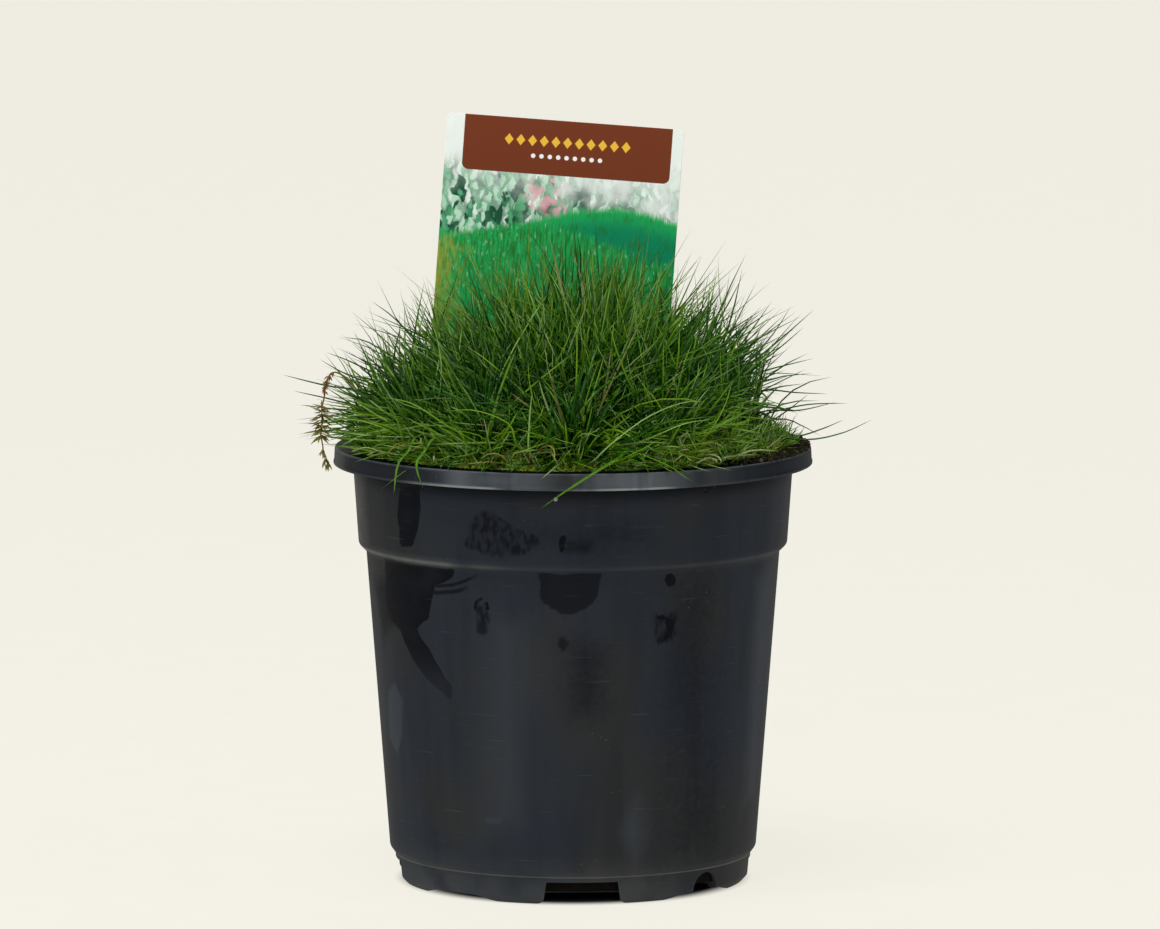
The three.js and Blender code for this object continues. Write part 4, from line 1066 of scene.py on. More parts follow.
    def profile(self) -> Array:
        """The wall's section, from the floor's underside out, up, over the lip and down the inside."""
        lip_foot = self.height - self.lip_drop
        under_lip = self.height - self.wall
        skirt = self.rim_radius - self.wall
        below, above = self.floor
        inner, outer = self.standing
        lift = self.wall / 2
        corners = [
            (0.0, below, 0.0), (inner, below, 0.0003), (inner, 0.0, 0.0002), (outer, 0.0, 0.0003),
            (*self.ring_foot, 0.0008), (*self.ring_top, 0.0004), (*self.body_foot, 0.0007),
            (*self.body_top, 0.0007), (*self.collar_foot, 0.0008),
            (self.collar_top, under_lip, 0.0006), (skirt, under_lip, 0.0006),
            (skirt, lip_foot, 0.0003), (self.rim_radius, lip_foot, 0.0003),
            (self.rim_radius, lip_foot + 0.0008, 0.0002),
            (self.rim_radius - 0.00025, lip_foot + 0.0013, 0.0002),
            (self.rim_radius - 0.0005, self.height, 0.0009),
            (self.collar_top + 0.003, self.height, 0.0),
            (self.collar_top - self.wall, self.height, 0.0006),
            (self.collar_foot[0] - self.wall, self.collar_foot[1] + lift, 0.0007),
            (self.body_top[0] - self.wall, self.body_top[1] + lift, 0.0007),
            (self.body_foot[0] - self.wall, self.body_foot[1] + lift, 0.0007),
            (self.ring_top[0] - self.wall, self.ring_top[1], 0.0004),
            (self.ring_top[0] - self.wall - 0.0004, above, 0.0008), (0.0, above, 0.0),
        ]
        outside = eased_profile(corners[:18], self.outer_step)
        inside = eased_profile(corners[17:], self.inner_step)
        return np.vstack([outside, inside[1:]])

    def radial_cut(self, outline: Array, angle: float) -> Surface:
        """A prism that runs out through the foot: an outline in width and height at an angle.

        Args:
            outline: Corners of shape (P, 2), counter-clockwise seen from outside.
            angle: Degrees from the front towards the right.

        Returns:
            The closed prism.
        """
        turn = math.radians(angle)
        right = np.array([math.cos(turn), math.sin(turn), 0.0])
        out = np.array([math.sin(turn), -math.cos(turn), 0.0])
        flat = outline[:, :1] * right + outline[:, 1:] * UP
        return prism(flat + out * self.cut_radii[0], flat + out * self.cut_radii[1])

    def foot_cuts(self) -> list[Surface]:
        """The openings round the foot and in the floor.

        Returns:
            Two sets of closed shapes, of which each set's don't overlap.
        """
        below = -0.001
        flare = self.notch_half + self.notch_flare
        splay = self.notch_half + 0.0008
        right = parabola([flare, 0], [splay, 0], [splay, 0.003], 5)
        left = right[::-1] * [-1, 1]
        top = [[self.notch_half, self.notch_height], [-self.notch_half, self.notch_height]]
        notch = np.vstack([[[-flare, below], [flare, below]], right, top, left])
        share = np.linspace(-1, 1, 13)[:, None]
        rise = ease(1 - np.abs(share), 0.0, 0.45) * self.arch_height
        arch = np.hstack([-share * self.arch_half, rise])
        arch = np.vstack([[[-self.arch_half, below], [self.arch_half, below]], arch])
        head = np.linspace(0, np.pi, 13)[:, None]
        head = np.hstack([np.cos(head), np.sin(head)]) * self.drain_half + [0, self.drain_shoulder]
        sill = [[-self.drain_half, self.drain_sill], [self.drain_half, self.drain_sill]]
        drain = np.vstack([sill, head])
        cuts, arches = [], []
        for quarter in range(4):
            at = self.first_notch + 90 * quarter
            cuts.append(self.radial_cut(notch, at))
            arches.append(self.radial_cut(arch, at + 45))
            turn = math.radians(at + 45)
            middle = np.array([math.sin(turn), -math.cos(turn), 0.0]) * self.floor_hole_ring
            ring = np.c_[round_section(20) * self.floor_hole_radius, np.zeros(20)] + middle
            cuts.append(prism(ring - 0.002 * UP, ring + 0.008 * UP))
        cuts += [self.radial_cut(drain, self.first_notch + 45 + half) for half in (0, 180)]
        return [Surface.joined(cuts), Surface.joined(arches)]

    def shades(self, degrees: Array, height: Array, radius: Array) -> dict[str, Array]:
        """Dust on the foot and its step, a painted highlight along the ledge that is brightest on the left,
        painted highlights on the lip's edges and face, and painted shade under the lip and on its sides.

        Args:
            degrees: Angles from the front.
            height: Heights in millimetres.
            radius: Distances from the axis in metres.

        Returns:
            Three shares by name: dust with the ledge's painted highlight, the lip's painted highlights, and
                painted shade.
        """
        turn = np.radians(degrees)
        uneven = 0.55 + 0.25 * np.sin(2 * turn + 2.1) + 0.2 * np.sin(5 * turn + 0.4)
        foot = 0.26 * (1 - ease(height, 2.0, 20.0))
        step = 0.22 * bell(height - self.pale_line_levels[0], 0.8)
        left = stretch(degrees, (-110.0, -80.0), (-42.0, -12.0))
        # The ledge's pale line is a painted highlight, brightest on the left, where the left light falls.
        ledge = (0.1 + 0.62 * left) * bell(height - self.pale_line_levels[1], 0.85)
        edge = 0.42 * stretch(degrees, (-112.0, -92.0), (-82.0, -66.0)) * ease(height, 119.0, 124.0)
        dust_and_sheen = np.maximum.reduce([foot * uneven, step * uneven, ledge, edge])
        on_lip = radius > self.rim_radius - self.wall
        # Painted highlight lines at the lip's foot and top, and a painted highlight over the middle of the
        # lip's face.
        left = stretch(degrees, (-48.0, -30.0), (-22.0, -14.0))
        right = stretch(degrees, (-8.0, 14.0), (20.0, 28.0))
        foot = bell(height - self.lip_highlight_levels[0], 0.5) * (0.05 + 0.5 * left + 0.6 * right)
        top = bell(height - self.lip_highlight_levels[1], 0.35) * (0.14 + 0.1 * np.maximum(left, right))
        face = 0.13 * stretch(degrees, (-34.0, -10.0), (24.0, 42.0)) + towards(self.lip_sheen_patches, degrees)
        lip_highlight = np.maximum.reduce([foot, top, face]) * on_lip
        # Painted shade: dark under the lip and fading down the collar, faint over the whole collar, and on
        # the lip's sides away from the front.
        under = bell(np.maximum(149.6 - height, 0), 5.0) * ~on_lip
        under = under * (0.98 - 0.06 * ease(degrees, -40.0, -4.0))
        under = np.maximum(under, 0.06 * ease(height, 119.0, 123.0))
        sides = 0.42 * ease(np.abs(degrees - 4.0), 32.0, 50.0) * on_lip
        return {"dust_and_sheen": dust_and_sheen, "lip_highlight": lip_highlight, "painted_shade": np.maximum(under, sides)}

    def marks(self, places: Array) -> dict[str, Array]:
        """The fields of the stains, mottles, smudges, pale patches and dust at places on the pot, and of the
        painted highlights and painted shade of the lip and ledge.

        Args:
            places: Vertices of shape (N, 3), in metres.

        Returns:
            The fields by name; each is the largest of its marks' fields.
        """
        height = places[:, 2] * 1000
        degrees = np.degrees(np.arctan2(places[:, 0], -places[:, 1]))
        on_drip = (1 - ease(height, 72.0, 92.0)) * (np.abs(degrees + 46.0) < 16.0)
        fields = self.shades(degrees, height, from_axis(places))
        fields["strength"] = 0.94 - 0.56 * on_drip - 0.4 * (np.abs(degrees) > 95.0)
        across = np.sin(np.radians(degrees)) * 0.07
        degrees = degrees + waves(across, places[:, 2], 0.016, 5) * 0.7
        height = height + waves(across, places[:, 2], 0.014, 6) * 0.6
        groups = {"stain": self.stains, "mottle": self.mottles, "smudge": self.smudges, "bloom_and_sheen": self.blooms_and_sheens}
        for name, group in groups.items():
            strongest = np.full(len(places), -4.0)
            for mark in group:
                middle, level = np.mean(mark.corners, axis=0)
                turned = turn_from(middle, degrees) + middle
                near = np.abs(turned - middle) < 60
                radius = 1000 * np.interp(level, *self.outer_line())
                found = mark.field(turned[near], radius, height[near])
                strongest[near] = np.maximum(strongest[near], found)
            fields[name] = strongest
        return fields

    def outer_line(self) -> tuple[tuple[float, ...], tuple[float, ...]]:
        """Heights in millimetres and the outside's radii in metres there."""
        top = (self.collar_top, self.height)
        stops = (self.ring_foot, self.body_foot, self.body_top, self.collar_foot, top)
        return tuple(1000 * z for _, z in stops), tuple(r for r, _ in stops)

    def build(self) -> None:
        """Turns the wall, dents its moulding seams, cuts the foot, and stores the marks."""
        shell = lathe(self.profile(), self.columns)
        radius = from_axis(shell.points)
        angle = np.degrees(np.arctan2(shell.points[:, 0], -shell.points[:, 1]))
        on_lip = (radius > self.rim_radius - 0.0006) & (shell.points[:, 2] > 0.1495)
        for seam in self.seams:
            dent = 0.00022 * bell(turn_from(seam, angle), 0.55) * on_lip
            shell.points[:, :2] *= (1 - dent / np.maximum(radius, 1e-6))[:, None]
        pot = shell.to_object("nursery_pot", PotPlastic().material())
        for cuts in self.foot_cuts():
            cut_from(pot, cuts)
        pot.data.polygons.foreach_set("use_smooth", np.full(len(pot.data.polygons), True))
        pot.data.set_sharp_from_angle(angle=math.radians(38))
        for name, values in self.marks(vertex_places(pot.data)).items():
            add_number(pot.data, name, values)
        ridden(pot, "pot", "pot")


@dataclass
class Compost:
    """The compost: a low mound of peat that fills the pot, with crumbs on its top."""

    pot: NurseryPot
    edge_height: float = 0.1516
    mound: float = 0.0094
    reach: float = 0.0772
    clearance: float = 0.0016
    relief: float = 0.0009
    heaped_side: float = -12.0
    heap_height: float = 0.0042
    heap_spread: float = 34.0
    columns: int = 200
    crumbs: int = 2400
    crumb_size: tuple[float, float] = (0.0005, 0.0015)
    spilled: int = 900
    spilled_size: tuple[float, float] = (0.0004, 0.0012)
    seed: int = 11

    def level(self, radius: Array) -> Array:
        """The surface's height: the edge height, and the mound times one less the square of the share."""
        share = np.minimum(np.asarray(radius, float) / self.reach, 1.0)
        return self.edge_height + self.mound * (1 - share**2)

    def heap(self, x: Array, y: Array) -> Array:
        """How much higher the compost lies at places: heaped against the wall round one direction."""
        side = bell(turn_from(self.heaped_side, np.degrees(np.arctan2(y, x))), self.heap_spread)
        return self.heap_height * side * ease(np.hypot(x, y), 0.054, 0.068)

    def build(self) -> None:
        """Turns the filling, roughens its top and strews crumbs over it."""
        pot, gap = self.pot, self.clearance
        edge = pot.collar_foot[0] + (pot.collar_top - pot.collar_foot[0]) * 0.9 - gap
        rings = np.linspace(0.97, 0.0, 34)
        corners = [
            (0.0, pot.floor[1] + 0.0004, 0.0),
            (pot.ring_top[0] - gap - 0.0004, pot.floor[1] + 0.0004, 0.0002),
            (pot.ring_top[0] - gap, pot.ring_top[1] + 0.0004, 0.0002),
            (pot.body_foot[0] - gap, pot.body_foot[1] + 0.0012, 0.0002),
            (pot.body_top[0] - gap, pot.body_top[1] + 0.0009, 0.0002),
            (pot.collar_foot[0] - gap, pot.collar_foot[1] + 0.0009, 0.0002),
            (edge, self.edge_height, 0.0),
        ]
        side = eased_profile(corners, 0.006)
        top = np.stack([edge * rings, self.level(edge * rings)], axis=-1)
        body = lathe(np.vstack([side, top]), self.columns)
        x, y, z = body.points.T
        rough = waves(x, y, 0.011, self.seed) + 0.5 * waves(x, y, 0.004, self.seed + 1)
        body.points[:, 2] += (self.relief * rough + self.heap(x, y)) * (z > self.edge_height - 0.0001)
        finish = CompostFinish().material()
        ridden(body.numbered(1, tone=0.0).to_object("compost_bed", finish), "compost", "compost")
        draw = np.random.default_rng(self.seed)
        radius = (edge - 0.002) * np.sqrt(draw.random(self.crumbs))
        centres = around(draw.uniform(0, 2 * np.pi, self.crumbs)) * radius[:, None]
        sizes = draw.uniform(*self.crumb_size, self.crumbs)
        centres[:, 2] = self.level(radius) + self.heap(centres[:, 0], centres[:, 1]) + sizes * 0.35
        turn = np.radians(draw.normal(self.heaped_side, 15.0, self.spilled))
        lip = around(turn) * draw.uniform(pot.collar_top - 0.0022, pot.rim_radius - 0.0012, (self.spilled, 1))
        grain = draw.uniform(*self.spilled_size, self.spilled)
        lip[:, 2] = pot.height + grain * 0.3
        centres, sizes = np.vstack([centres, lip]), np.append(sizes, grain)
        ridden(blobs(centres, sizes, draw).to_object("compost_crumbs", finish, False), "compost")


@dataclass
class Label:
    """The stick-in label: a printed card with shoulders that run down into a stake."""

    width: float = 0.085
    card: float = 0.084
    shoulder: float = 0.016
    stake_half: float = 0.007
    stake_length: float = 0.046
    point: float = 0.008
    thickness: float = 0.0008
    corner: float = 0.002
    top_centre: tuple[float, float, float] = (-0.0025, 0.0364, 0.2671)
    clearance: float = 0.0015
    thin_gap: float = 0.001
    lean: float = -4.0
    roll: float = 3.9
    yaw: float = -4.7

    def turn(self) -> Array:
        """The card's axes: yaw about Z after roll about Y after standing up about X.

        Returns:
            A matrix with the axes as its columns.
        """
        x, y, z = (math.radians(a) for a in (90 + self.lean, self.roll, self.yaw))
        about_x = np.array([[1, 0, 0], [0, math.cos(x), -math.sin(x)], [0, math.sin(x), math.cos(x)]])
        about_y = np.array([[math.cos(y), 0, math.sin(y)], [0, 1, 0], [-math.sin(y), 0, math.cos(y)]])
        about_z = np.array([[math.cos(z), -math.sin(z), 0], [math.sin(z), math.cos(z), 0], [0, 0, 1]])
        return about_z @ about_y @ about_x

    def is_crossed(self, routes: Array) -> Array:
        """Which routes change sides of the card, or touch it, within its outline.

        Args:
            routes: Stations of shape (N, S, 3).

        Returns:
            True for each such route.
        """
        local = (routes - np.array(self.top_centre)) @ self.turn()
        x, y, z = np.moveaxis(local, -1, 0)
        neck = -self.card - self.shoulder
        half = np.where(y < neck, self.stake_half, self.width / 2) + self.clearance
        beside = (np.abs(x) > half) | (y > self.clearance)
        inside = ~(beside[:, 1:] & beside[:, :-1])
        swaps = z[:, 1:] * z[:, :-1] < 0
        near = np.abs(z[:, 1:]) < self.thin_gap
        return (inside & (swaps | near)).any(axis=1)

    def outline(self) -> Array:
        """The card's outline, from its top right corner down to the stake's point, and its mirror.

        Returns:
            Corners of shape (P, 2), across and up from the middle of the top edge.
        """
        half, stake, cut = self.width / 2, self.stake_half, self.corner
        foot = -self.card
        neck = foot - self.shoulder
        end = neck - self.stake_length
        slope = (half - 0.006, foot - 0.002)
        arcs = [
            parabola((half - cut, 0), (half, 0), (half, -cut), 6),
            parabola((half, foot + cut), (half, foot), slope, 8),
            parabola(slope, (stake + 0.002, foot - 0.005), (stake, neck), 12)[1:],
        ]
        right = np.vstack([*arcs, [[stake * 0.8, end]]])
        return np.vstack([right, [[0, end - self.point]], right[::-1] * [-1, 1]])

    def build(self) -> None:
        """Extrudes the outline through the card's thickness and stores the place on the card."""
        flat = self.outline()[::-1]
        back = np.c_[flat, np.full(len(flat), -self.thickness / 2)]
        front = np.c_[flat, np.full(len(flat), self.thickness / 2)]
        card = prism(back, front)
        card.numbers["card"] = (card.points * [1, -1, 1] + [self.width / 2, 0, 0]) * 100
        card.numbers["printed"] = np.repeat([0.0, 1.0], len(flat))
        card.points = card.points @ self.turn().T + np.array(self.top_centre)
        piece = card.to_object("printed_label", LabelPrint().material(), False)
        bevel = piece.modifiers.new("worn_edge", "BEVEL")
        bevel.width, bevel.segments = 0.00012, 1
        ridden(piece, "label", "plant_label")


# A leaf folded along its middle, and the same with a plain keel for thousands of fine blades.
FOLDED_LEAF = np.array([[-1.0, 0.3], [-0.75, -0.45], [0.0, -0.85], [0.75, -0.45], [1.0, 0.3], [0.0, -0.12]])
KEELED_LEAF = np.array([[-1.0, 0.26], [0.0, -0.9], [1.0, 0.26], [0.0, -0.12]])


@dataclass(frozen=True)
class TuftRing:
    """A ring of equal tufts: how many, where they stand, how they lean, fan out and run wild."""

    count: int
    radius: float
    start: float
    lean: float
    fan: float
    blades: int
    disc: float
    wild: float


@dataclass(frozen=True)
class Leaf:
    """A single long leaf: places in millimetres, half its width in millimetres, its tone and dryness."""

    places: tuple[tuple[float, float, float], ...]
    half_width: float = 0.47
    tone: float = 0.16
    dryness: float = 0.0

    def build(self, foot: Array) -> Surface:
        """Carries the folded section along the leaf.

        Args:
            foot: The foot of the tuft that it grows from.

        Returns:
            The leaf.
        """
        corners = np.vstack([foot[None], np.array(self.places) / 1000])
        route = smooth_route(corners, 18)[None]
        share = np.linspace(0, 1, 18)
        widths = self.half_width / 1000 * (0.7 + 0.3 * ease(share, 0.0, 0.2)) * (1 - share**5) ** 0.8
        bend = np.cross(route[0, 9] - route[0, 0], route[0, -1] - route[0, 9])
        leaf = sweep(route, widths[None], FOLDED_LEAF, unit(bend[None] + 0.002 * UP))
        return leaf.numbered(1, tone=self.tone, dry=self.dryness)


@dataclass
class Tussock:
    """The grass: rings of tufts whose blades end near a dome, and a few long leaves past it."""

    pot: NurseryPot
    compost: Compost
    label: Label
    rings: tuple[TuftRing, ...] = (
        TuftRing(1, 0.0, 0.0, 0.0, 27.0, 290, 0.009, 0.5),
        TuftRing(6, 0.021, 0.0, 21.0, 29.0, 235, 0.009, 0.55),
        TuftRing(10, 0.043, 16.9, 45.0, 35.0, 220, 0.01, 0.7),
        TuftRing(12, 0.0615, 0.0, 60.0, 44.0, 185, 0.008, 0.8),
    )
    dome_radius: float = 0.096
    dome_top: float = 0.231
    dome_base: float = 0.15
    dome_power: float = 2.12
    dome_slack: float = 1.24
    furthest: float = 0.1015
    lowest_rise: float = 0.14
    lean_share: float = 0.66
    rim_gap: float = 0.001
    ground_gap: float = 0.0006
    half_width: tuple[float, float] = (0.00035, 0.00056)
    stations: int = 8
    blades_per_tiller: int = 4
    dry_share: float = 0.003
    # Share of blades painted pale as glints, a painted reflection.
    glint_share: float = 0.085
    thin_side: float = -4.0
    thin_spread: float = 36.0
    thin_cut: float = 0.31
    runner_share: float = 0.12
    flat_share: float = 0.3
    # How far wild and tame tillers stray, in degrees, and how far their blades curl.
    stray: tuple[float, float] = (30.0, 11.0)
    curl: tuple[float, float] = (0.5, 0.26)
    flattened: float = 0.35
    scatter: float = 0.17
    # Shares of the way to the dome, and how many tillers end at each.
    tiers: Rows = ((0.55, 0.22), (0.73, 0.29), (0.87, 0.26), (0.98, 0.16), (1.07, 0.07))
    tone: tuple[float, float] = (0.31, 0.28)
    # Yellower low leaves: direction and spread in degrees, and how much yellower.
    yellow_sides: Rows = ((-46.0, 30.0, 0.3), (-124.0, 24.0, 0.24))
    seed: int = 40
    long_leaves: tuple[Leaf, ...] = (
        Leaf(((22, -66, 163), (16, -80, 160), (9, -87.5, 156.8), (-2, -89.5, 150), (-12, -89, 143)),
             0.62, 0.54),
        Leaf(((-52, -52, 165), (-57.5, -58.5, 159.5), (-61, -61.5, 155.5), (-62.5, -61.8, 144.5)),
             0.56, 0.56),
        Leaf(((-46, -58, 165), (-52, -64.5, 160), (-54.5, -67.5, 156), (-52, -70.5, 148)), 0.56, 0.56),
        Leaf(((64, -16, 161), (82, -20, 159.4), (95, -22, 162), (105.6, -24, 167)), 0.48, 0.3),
        Leaf(((-66, 6, 171), (-88, 7, 175.5), (-103.4, 8, 179.2))),
        Leaf(((-5, -72, 171), (-8, -90, 170), (-10, -103.8, 163))),
        Leaf(((20, 72, 171), (24, 90, 169), (26, 103.8, 163))),
        Leaf(((-58, 52, 164), (-64, 58, 160), (-66.5, 60, 154), (-66, 60.5, 146)), 0.55, 0.6),
        Leaf(((60, 43, 164), (70, 48, 159.5), (74, 50, 155), (75, 50, 148)), 0.55, 0.6),
        Leaf(((60, 4, 163), (68, 5, 165.5), (83, 6, 168.8), (97.7, 6, 169.2))),
        Leaf(((58, -10, 162), (67, -12, 168.5), (80, -13, 169), (93.1, -14, 172))),
        Leaf(((66, 10, 158), (79.3, 12, 156.8), (88, 13, 159), (96.6, 14, 162.4))),
        Leaf(((55, -6, 171), (67.3, -8, 175.5), (79, -9, 174.8), (90.3, -10, 174.4))),
        Leaf(((54, 6, 166), (67.3, 9, 173.4), (75, 10, 177.2), (82.8, 11, 180.8))),
        Leaf(((52, -4, 176), (68, -5, 182.1), (77, -6, 184.6), (85.3, -6, 186.6))),
        Leaf(((60, 12, 160), (70, 14, 162), (76, 14, 165.5), (83.9, 15, 171.4))),
        Leaf(((50, 3, 174), (66.2, 5, 183.8), (75, 6, 190.4), (82.1, 6, 196.6))),
        Leaf(((46, -5, 176), (60, -6, 184), (70, -7, 194.5), (77.2, -7, 205.4))),
        Leaf(((60, -14, 163), (73.6, -15, 166.2), (81, -16, 163.8), (87.4, -16, 160.2))),
        Leaf(((-62, -6, 165), (-82.5, -8, 171.5), (-99.1, -9, 175.4))),
        Leaf(((-62, 4, 162), (-78, 5, 166.2), (-96.6, 5, 168.8))),
        Leaf(((-60, 8, 170), (-80.7, 10, 179.2), (-90.3, 10, 184.6))),
        Leaf(((-56, -4, 172), (-76, -5, 184), (-87.4, -6, 188.8))),
        Leaf(((-54, 2, 176), (-71, 3, 190.5), (-82, 3, 193.2))),
        Leaf(((-48, 4, 182), (-62, 4, 198.5), (-71.5, 4, 206))),
        Leaf(((-66, -18, 160), (-80, -21, 166), (-92, -24, 166.5))),
        Leaf(((6, -78, 158), (14, -82, 166), (26, -80, 174.5), (38, -72, 178.5), (47, -64, 178)), 0.4, 1.12),
        Leaf(((20, -70, 162), (30, -76, 168), (40, -76, 172), (50, -70, 172.5)), 0.36, 1),
        Leaf(((-30, -70, 162), (-44, -74, 171), (-56, -70, 178), (-68, -58, 179)), 0.36, 0.66),
        Leaf(((-60, -44, 163), (-70, -46, 168), (-80, -44, 169.5), (-89, -40, 167)), 0.38, 0.9),
        Leaf(((-18, -72, 162), (-22, -80, 172), (-34, -82, 177), (-46, -78, 176)), 0.36, 0.8),
        Leaf(((-14, -74, 160), (-15, -81, 172), (-14, -83, 184)), 0.4, 1),
        Leaf(((44, -60, 163), (52, -66, 175), (56, -66, 187)), 0.36, 0.85),
        Leaf(((-2, -8, 200), (-5, -3, 216), (-8.5, -1, 229.6)), 0.34, 0.3, 1),
        Leaf(((4, -6, 200), (3, -2, 214), (-1, 1, 226)), 0.34, 0.3, 0.8),
        Leaf(((-6, -70, 181), (-7.4, -75.5, 187), (-8.4, -76, 191), (-6.4, -74.5, 194)), 0.6, 0.3, 1),
    )

    def reach(self, root: Array, heading: Array) -> Array:
        """How far each ray runs inside the dome, found by halving the stretch that holds its edge.

        Args:
            root: Where the rays start.
            heading: Their unit directions.

        Returns:
            Lengths in metres.
        """
        near, far = np.zeros(len(root)), np.full(len(root), 0.16)
        for _ in range(16):
            middle = (near + far) / 2
            spot = root + heading * middle[:, None]
            narrow = self.dome_radius / self.girth(spot)
            inside = self.fullness(spot * np.stack([narrow, narrow, np.ones_like(narrow)], axis=-1)) < 1
            near, far = np.where(inside, middle, near), np.where(inside, far, middle)
        return near

    def thinness(self, angle: Array) -> Array:
        """How thin the tussock is in a direction: a bell round the direction of its thin side."""
        return bell(turn_from(self.thin_side, np.degrees(angle)), self.thin_spread)

    def girth(self, spot: Array) -> Array:
        """The dome's radius towards places: less by the thin cut low down on the thin side."""
        thin = self.thinness(np.arctan2(spot[..., 1], spot[..., 0]))
        return self.dome_radius * (1 - self.thin_cut * thin * (1 - ease(spot[..., 2], 0.174, 0.2)))

    def fullness(self, spot: Array) -> Array:
        """The dome's sum of powers at places: 1 at its surface and 0 at the middle of its base."""
        high = np.maximum(spot[..., 2] - self.dome_base, 0) / (self.dome_top - self.dome_base)
        return (from_axis(spot) / self.dome_radius) ** self.dome_power + high**self.dome_power

    def draw_routes(
        self, ring: TuftRing, foot: Array, out: Array, count: int, draw: np.random.Generator
    ) -> Array:
        """Draws blades of one tuft: up out of the sheaths, then out to a random share of the dome.

        Args:
            ring: The tuft's ring.
            foot: Where the tuft stands.
            out: The level direction that it leans to.
            count: How many blades to draw.
            draw: The seeded random numbers.

        Returns:
            Stations of shape (count, stations, 3).
        """
        lean = math.radians(ring.lean)
        axis = UP * math.cos(lean) + out * math.sin(lean)
        stem = UP * math.cos(lean * self.lean_share) + out * math.sin(lean * self.lean_share)
        frame_x = unit(np.cross(axis, [0.31, -0.87, 0.38]))
        frame_y = np.cross(axis, frame_x)
        tillers = count // self.blades_per_tiller
        turn = draw.uniform(0, 2 * np.pi, (tillers, 1))
        side = np.cos(turn) * frame_x + np.sin(turn) * frame_y
        share = np.sqrt(draw.random((tillers, 1)))
        is_wild = draw.random((tillers, 1)) < ring.wild
        spread = np.radians(np.where(is_wild, *self.stray))
        fan = np.radians(ring.fan) * share + spread * draw.normal(size=(tillers, 1))
        swing = np.cross(axis, side)
        heading = axis * np.cos(fan) + side * np.sin(fan)
        heading = heading + swing * np.tan(spread * draw.normal(size=(tillers, 1)) * 0.8)
        tiers, shares = np.array(self.tiers).T
        stretch = draw.choice(tiers, (tillers, 1), p=shares)
        is_flat = is_wild & (draw.random((tillers, 1)) < self.flat_share)
        heading[:, 2:] *= np.where(is_flat, self.flattened, 1.0)
        root = foot + side * ring.disc * share - UP * 0.002
        grown = (heading, root, is_wild, stretch[:, 0])
        heading, root, is_wild, stretch = (np.repeat(v, self.blades_per_tiller, axis=0) for v in grown)
        count = len(root)
        heading = heading + draw.normal(size=(count, 3)) * self.scatter
        heading[:, 2] = np.maximum(heading[:, 2], self.lowest_rise * draw.uniform(0.6, 1.3, count))
        heading = unit(heading)
        root = root + draw.normal(size=(count, 3)) * [0.0008, 0.0008, 0.0]
        stretch = stretch * draw.uniform(0.8, 1.08, count)
        full = self.dome_radius / self.girth(heading * 0.06 + root)
        stretch = stretch * np.where(draw.random(count) < self.runner_share, full, 1.0)
        length = (self.reach(root, heading) * stretch)[:, None]
        rise = unit(stem * 0.55 + heading * 0.45)
        level = from_axis(heading)[:, None]
        bend = np.where(is_wild, *self.curl) * draw.normal(size=(count, 3))
        turned = unit(heading + bend - UP * level * draw.uniform(0.0, 0.5, (count, 1)))
        middle = root + heading * length * 0.52
        corners = [root, root + rise * length * 0.28, middle, middle + turned * length * 0.48]
        return bezier(corners, np.linspace(0, 1, self.stations))

    def is_free(self, routes: Array) -> Array:
        """Which blades stay above the compost and the rim, inside the dome's reach and off the label.

        Args:
            routes: Stations of shape (N, S, 3).

        Returns:
            True for each free blade.
        """
        pot = self.pot
        free = routes[:, 2:]
        radius = from_axis(free)
        over_rim = (radius > pot.collar_foot[0] - 0.004) & (radius < pot.rim_radius + 0.0012)
        ground = np.where(over_rim, pot.height + self.rim_gap, self.compost.level(radius) + self.ground_gap)
        is_low = (free[..., 2] < ground) & (radius < pot.rim_radius + 0.0012)
        is_out = (radius > self.furthest) | (self.fullness(free) > self.dome_slack)
        return ~(is_low | is_out).any(axis=1) & ~self.label.is_crossed(routes)

    def grow(self, ring: TuftRing, angle: float, seed: int) -> Surface:
        """Draws a tuft's blades, again and again until enough are free, and gives them a body.

        Args:
            ring: The tuft's ring.
            angle: Where it stands, in radians from +X.
            seed: Picks its blades.

        Returns:
            The tuft's blades.
        """
        draw = np.random.default_rng(seed)
        out = around(angle)
        foot = out * ring.radius + UP * self.compost.level(ring.radius)
        kept: list[Array] = []
        thin = 0.62 * self.thinness(angle) + 0.4 * self.thinness(angle + np.pi)
        thin = thin * float(ease(np.array(ring.radius), 0.034, 0.061))
        vigour = draw.uniform(0.9, 1.05) + 0.05 * (ring.radius < 0.03)
        wanted = round(ring.blades * (1 - thin))
        while sum(map(len, kept)) < wanted:
            routes = self.draw_routes(ring, foot, out, ring.blades * 2, draw)
            routes = foot + (routes - foot) * vigour
            kept.append(routes[self.is_free(routes)])
        routes = draw.permutation(np.concatenate(kept))[:wanted]
        count = len(routes)
        share = np.linspace(0, 1, self.stations)
        taper = (0.7 + 0.3 * ease(share, 0.0, 0.2)) * (1 - share**6) ** 0.8
        outer = ease(self.fullness(routes[:, -1]), 0.7, 1.0)
        # Some blades are painted pale as glints, a painted reflection; they are also thinner.
        is_glinting = draw.random(count) < self.glint_share
        thinned = (1 - 0.24 * outer) * np.where(is_glinting, 0.8, 1.0)
        widths = draw.uniform(*self.half_width, (count, 1)) * thinned[:, None] * taper
        chord = unit(routes[:, -1] - routes[:, 0])
        blades = sweep(routes, widths, KEELED_LEAF, unit(np.cross(chord, draw.normal(size=(count, 3)))))
        tip_height = routes[:, -1, 2]
